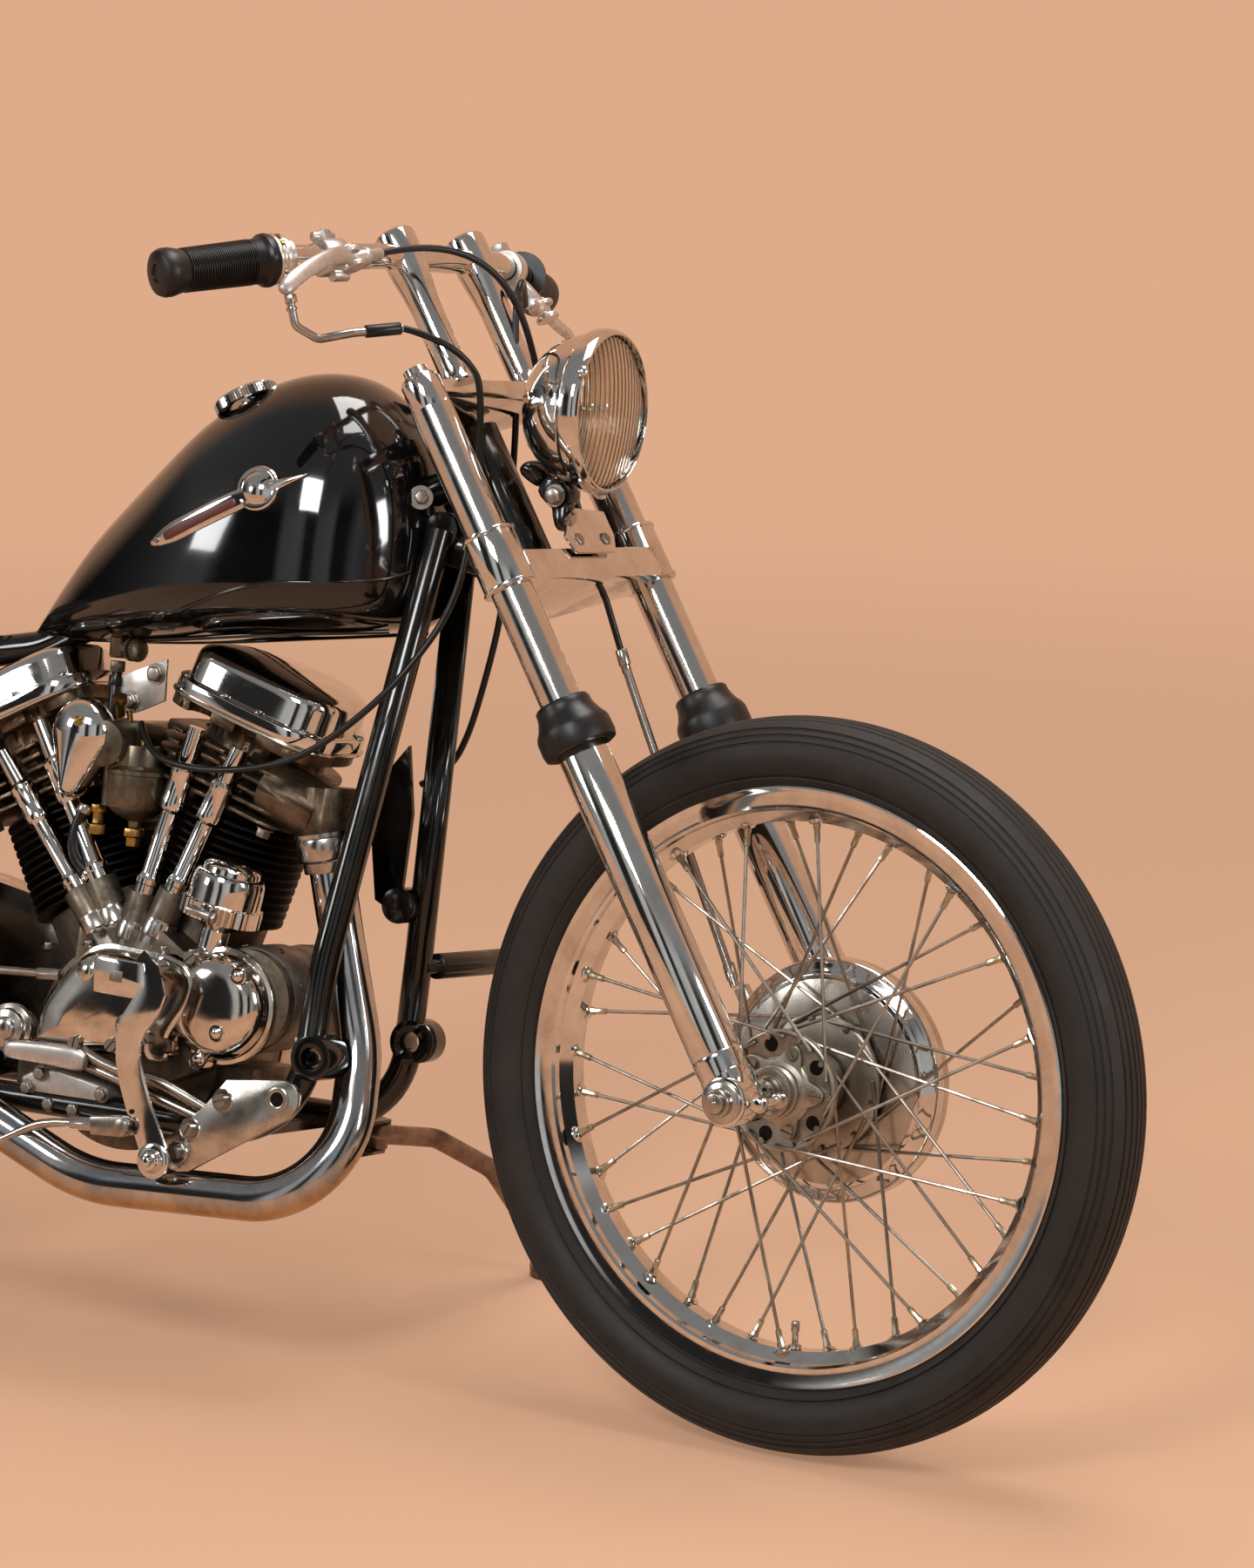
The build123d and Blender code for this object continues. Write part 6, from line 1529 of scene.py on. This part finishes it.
def closedCord(name, points, radius):
    data = bpy.data.curves.new(name, "CURVE")
    data.dimensions, data.bevel_depth, data.bevel_resolution = "3D", radius, 3
    run = data.splines.new("POLY")
    run.points.add(len(points) - 1)
    for point, at in zip(run.points, points):
        point.co = (*at, 1)
    run.use_cyclic_u = True
    piece = bpy.data.objects.new(name, data)
    scene.collection.objects.link(piece)
    return asMesh(piece)


piping = [closedCord("seatPiping", planRing(seat["outline"], -5.5, seat["floor"] + 5), 3.0),
    closedCord("seatPiping", planRing(seat["outline"], -1.5, seat["floor"] + 27), 2.6)]
settle(joined("seatPiping", piping), "frame", "seat_leather", slot="seat_leather", angle=60)
refined("seat_pan", "satinBlack", 0.6)
refined("rear_fender", "gloss_black", 0.8)
fenderBeads = []
for side in (-1, 1):
    for lift, half in ((355.0, 73.0), (355.4, 24.0)):
        arc = [(lift * math.cos(a), side * half, 337.78 + lift * math.sin(a))
            for a in [math.radians(64 + (172 - 64) * i / 40) for i in range(41)]]
        fenderBeads.append(tubeAlong("fenderBead", arc, 3.2 if half > 50 else 1.8, 12, 2))
settle(joined("fenderBeads", fenderBeads), "frame", "gloss_black", slot="gloss_black")
refined("oil_tank", "gloss_black", 2.4)
refined("battery", "grip_rubber", 2.0)
tankTop = [moved(knurl(turned("oilCap", [(0, -6), (19, -6), (19, 0), (24, 1), (24, 9), (20, 12), (10, 14), (0, 14)],
    72), 23.5, 0.9, 72), Matrix.Translation((366, -52, 584))),
    moved(turned("oilUnion", [(0, -6), (7, -6), (7, 6), (9, 7), (9, 14), (5, 15), (5, 26), (0, 26)], 6, 0.5),
    Matrix.Translation((366, 52, 584)))]
settle(joined("oilTankCap", tankTop), "frame", "chrome", slot="chrome")
batteryTop = [moved(turned("ventPlug", [(0, -3), (8, -3), (8, 4), (6, 6), (0, 6)], 24, 0.4),
    Matrix.Translation((404 + 18 * i, -14, 583))) for i in range(3)]
batteryTop += [moved(turned("batteryPost", [(0, -3), (8, -3), (6.5, 12), (0, 12)], 20, 0.6),
    Matrix.Translation((x, 22, 583))) for x in (400, 450)]
settle(joined("batteryFittings", batteryTop), "frame", "bare_steel", slot="bare_steel")
batteryStrap = bladeAlong("batteryStrap", [((425, -42, 440), 1.4, 10), ((425, -42, 578), 1.4, 10),
    ((425, -36, 585.6), 1.4, 10), ((425, 36, 585.6), 1.4, 10), ((425, 42, 578), 1.4, 10), ((425, 42, 440), 1.4, 10)],
    (1, 0, 0), 8, 5, 0)
settle(batteryStrap, "frame", "polishedSteel", slot="bare_steel")

# tail lamp: chromed shell, ribbed red lens, and a blank plate in a rolled frame
tailPlace = frameMatrix @ Matrix.Translation((-352, 0, 337.78 + 90)) @ Matrix.Rotation(math.radians(-90), 4, "Y")
tailShell = turned("tailShell", [(0, -22), (33, -22), (34, -20), (36, 8), (37.4, 9), (37.4, 13), (36, 14.4),
    (33, 14.4), (33, 8), (0, 8)], 72)
settle(tailShell, "frame", "chrome", tailPlace, "tail_lamp", slot="chrome")
lensRings = [(0, 9), (32.6, 9), (32.8, 15)] + [(32.8 - 1.2 * i - (0.8 if i % 2 else 0), 15.6 + i * 0.9)
    for i in range(8)] + [(20, 23.6), (10, 24.4), (0, 24.6)]
settle(turned("tailLens", lensRings, 72), "frame", "redLens", tailPlace, slot="lens_glass"
    if "lens_glass" in slotNames else None, angle=30)
plateShape = [(-88, -49), (-90, -47), (-90, 47), (-88, 49), (88, 49), (90, 47), (90, -47), (88, -49)]
plateTurn = Matrix.Translation((-364.4, 0, 337.78 + 26)) @ Matrix(((0, 0, -1, 0), (1, 0, 0, 0), (0, 1, 0, 0),
    (0, 0, 0, 1)))
blank = moved(plate("numberPlate", plateShape, 0, 2.6, 0.5), plateTurn)
settle(blank, "frame", "plateWhite", slot="chrome")
plateEdge = [closedCord("plateEdge", [plateTurn @ Vector((x * 0.985, y * 0.985, 2.8)) for x, y in plateShape], 1.8)]
plateEdge += [moved(screwMaster(head=4.4, rise=2.4), plateTurn @ Matrix.Translation((x, 38, 2.4))) for x in (-62, 62)]
plateEdge += [moved(plate("plateBracket", [(-24, -20), (24, -20), (24, 20), (-24, 20)], 0, 4, 0.8),
    Matrix.Translation((-358, 0, 337.78 + 66)) @ Matrix.Rotation(math.radians(90), 4, "Y"))]
settle(joined("plateTrim", plateEdge), "frame", "polishedSteel", slot="chrome")

# drive chain: links at their true pitch round both sprockets
chain = {"rear": (0.0, 337.78, 130.0), "front": (455.0, 335.0, 60.0), "y": 86.0, "pitch": 15.875}


def chainPath():
    (xa, za, ra), (xb, zb, rb) = chain["rear"], chain["front"]
    length = math.hypot(xb - xa, zb - za)
    tilt, lift = math.atan2(zb - za, xb - xa), math.asin((ra - rb) / length)
    top, low = tilt + math.pi / 2 - lift, tilt - math.pi / 2 + lift
    points = []
    for centre, radius, start, end in (((xb, zb), rb, top, low), ((xa, za), ra, low, top - 2 * math.pi)):
        count = 60
        for i in range(count + 1):
            a = start + (end - start) * i / count
            points.append(Vector((centre[0] + radius * math.cos(a), centre[1] + radius * math.sin(a))))
    return points + [points[0]]


def spacedAlong(points, gap):
    total = sum((b - a).length for a, b in zip(points, points[1:]))
    count = 2 * round(total / gap / 2)
    step, out, walked, target = total / count, [], 0.0, 0.0
    for a, b in zip(points, points[1:]):
        run = (b - a).length
        while target <= walked + run and len(out) < count:
            out.append(a.lerp(b, (target - walked) / run if run else 0))
            target += step
        walked += run
    return out


rollers = spacedAlong(chainPath(), chain["pitch"])
half = chain["pitch"] / 2
waist = [(math.cos(a) * 6.6 + half, math.sin(a) * 6.6) for a in [math.radians(-90 + 45 * i) for i in range(5)]]
linkShape = waist + [(-x, -y) for x, y in waist]
sidePlate = plate("linkPlate", linkShape, 0, 1.6, 0)
pinRoller = turned("linkRoller", [(0, -8.6), (2.7, -8.6), (2.7, -5), (5.1, -5), (5.1, 5), (2.7, 5), (2.7, 8.6),
    (0, 8.6)], 8)
links = []
for index, at in enumerate(rollers):
    following = rollers[(index + 1) % len(rollers)]
    middle, run = (at + following) / 2, following - at
    turn = Matrix.Translation((middle.x, chain["y"], middle.y)) @ Matrix.Rotation(-math.atan2(run.y, run.x), 4,
        "Y") @ Matrix.Rotation(math.radians(90), 4, "X")
    out = 7.0 if index % 2 else 5.2
    links += [(sidePlate, turn @ Matrix.Translation((0, 0, out - 0.8))),
        (sidePlate, turn @ Matrix.Translation((0, 0, -out - 0.8)))]
    links.append((pinRoller, Matrix.Translation((at.x, chain["y"], at.y)) @ Matrix.Rotation(math.radians(90), 4,
        "X")))
made = []
for master in (sidePlate, pinRoller):
    made += copied(master, *[place for piece, place in links if piece is master])
settle(joined("driveChain", made), "frame", "chainSteel", node="drive_chain", angle=30)
refined("primary_cover", "polished_aluminium", 3.0)
refined("gearbox", "cast_aluminium", 1.6)
lid = {"bossFace": 191.6, "face": 175.6, "clutch": (455.0, 335.0), "crank": (785.0, 308.0)}
lidScrews = [moved(screwMaster(head=6.4, rise=4.4, slot=1.5),
    standing((lid["clutch"][0] + 58 * math.cos(a), lid["bossFace"], lid["clutch"][1] + 58 * math.sin(a)), (0, 1, 0),
    a)) for a in [2 * math.pi * i / 5 + 0.3 for i in range(5)]]
for centre, radius, start, end, count in ((lid["clutch"], 97, 96, 276, 6), (lid["crank"], 63, -84, 84, 4)):
    for i in range(count):
        a = math.radians(start + (end - start) * i / (count - 1))
        lidScrews.append(moved(screwMaster(head=6.4, rise=4.4, slot=1.5),
            standing((centre[0] + radius * math.cos(a), lid["face"], centre[1] + radius * math.sin(a)), (0, 1, 0),
            a * 2)))
settle(joined("primaryScrews", lidScrews), "frame", "bare_steel", slot="bare_steel")
for node, finish, edge in (("frame_spine", "satinBlack", 0.6), ("frame_left_side", "satinBlack", 0.6),
        ("frame_right_side", "satinBlack", 0.6), ("frame_braces", "satinBlack", 0.8), ("rear_axle", "polishedSteel",
        0.5), ("left_foot_peg", "grip_rubber", 0.8), ("clutch_booster", "satinBlack", 1.0),
        ("side_stand", "steelPaintWorn", 0.8), ("rear_hub", "polished_aluminium", 0.8)):
    refined(node, finish, edge)
print("rear ready")

# cables
def cableOf(name, points, radius, finish="cable_sheath", body="frame", place=None, node=(), slot="cable_sheath"):
    return settle(tubeAlong(name, points, radius, 16, 10), body, finish, place, node, slot)


def forkToFrame(point):
    return frameMatrix.inverted() @ (forkMatrix @ Vector(point))


def acrossSteering(name, onFork, onFrame, radius):
    # one cable that leaves the bars with the fork and ends on the frame
    points = [forkToFrame(p) for p in onFork] + [Vector(p) for p in onFrame]
    piece = tubeAlong(name, points, radius, 16, 10)
    piece.data.transform(frameMatrix)
    smoothed(piece, 60)
    piece.data.materials.clear()
    piece.data.materials.append(finishes["cable_sheath"])
    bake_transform(piece)
    return piece


throttle = acrossSteering("throttleCable", [(7, -130, 806), (11, -125, 803), (31, -95, 777), (30, -75, 749.5),
    (23, -60, 734)], [(1127, -60, 800), (1094, -84, 728), (1066, -104, 682), (1020, -112, 638), (970, -114, 606),
    (892, -114, 591), (830, -108, 594), (800, -96, 606), (783, -82, 630)], 3.4)
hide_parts("throttle_cable")
clutch = acrossSteering("clutchCable", [(2, 122, 842), (24, 96, 852), (40, 70, 851), (30, 60, 835), (9, 55, 788),
    (-12, 50, 735)], [(1100, 62, 800), (1085, 86, 752), (1064, 92, 666), (1054, 93, 636), (1040, 93, 607),
    (1008, 94, 590)], 3.4)
brakeLine = [(38, -169, 868), (70, -84, 872), (96, -40, 812), (30, 30, 742), (0, 62, 640), (-24, 82, 555),
    (-48, 93, 440), (-70, 88, 180), (-68, 76, 128)]
cableOf("brakeCable", brakeLine[:7], 3.4, body="fork", node="brake_cable")
cableOf("brakeConduit", [(-42, 90.6, 470), *brakeLine[6:]], 4.6, finish="polishedSteel", body="fork",
    slot="bare_steel")
ferrules = []
for at, after in (((-24, 82, 555), (-48, 93, 440)), ((-40, 90, 480), (-50, 93, 430)),
        ((-69, 83, 152), (-68, 76, 128))):
    way = Vector(after) - Vector(at)
    ferrules.append(moved(turned("cableFerrule", [(3.4, 0), (5.6, 0), (6.2, 1), (6.2, 16), (5, 17), (5, 24),
        (3.4, 24)], 20, 0.3), standing(at, way)))
settle(joined("cableFerrules", ferrules), "fork", "polishedSteel", slot="bare_steel")
print("cables ready")
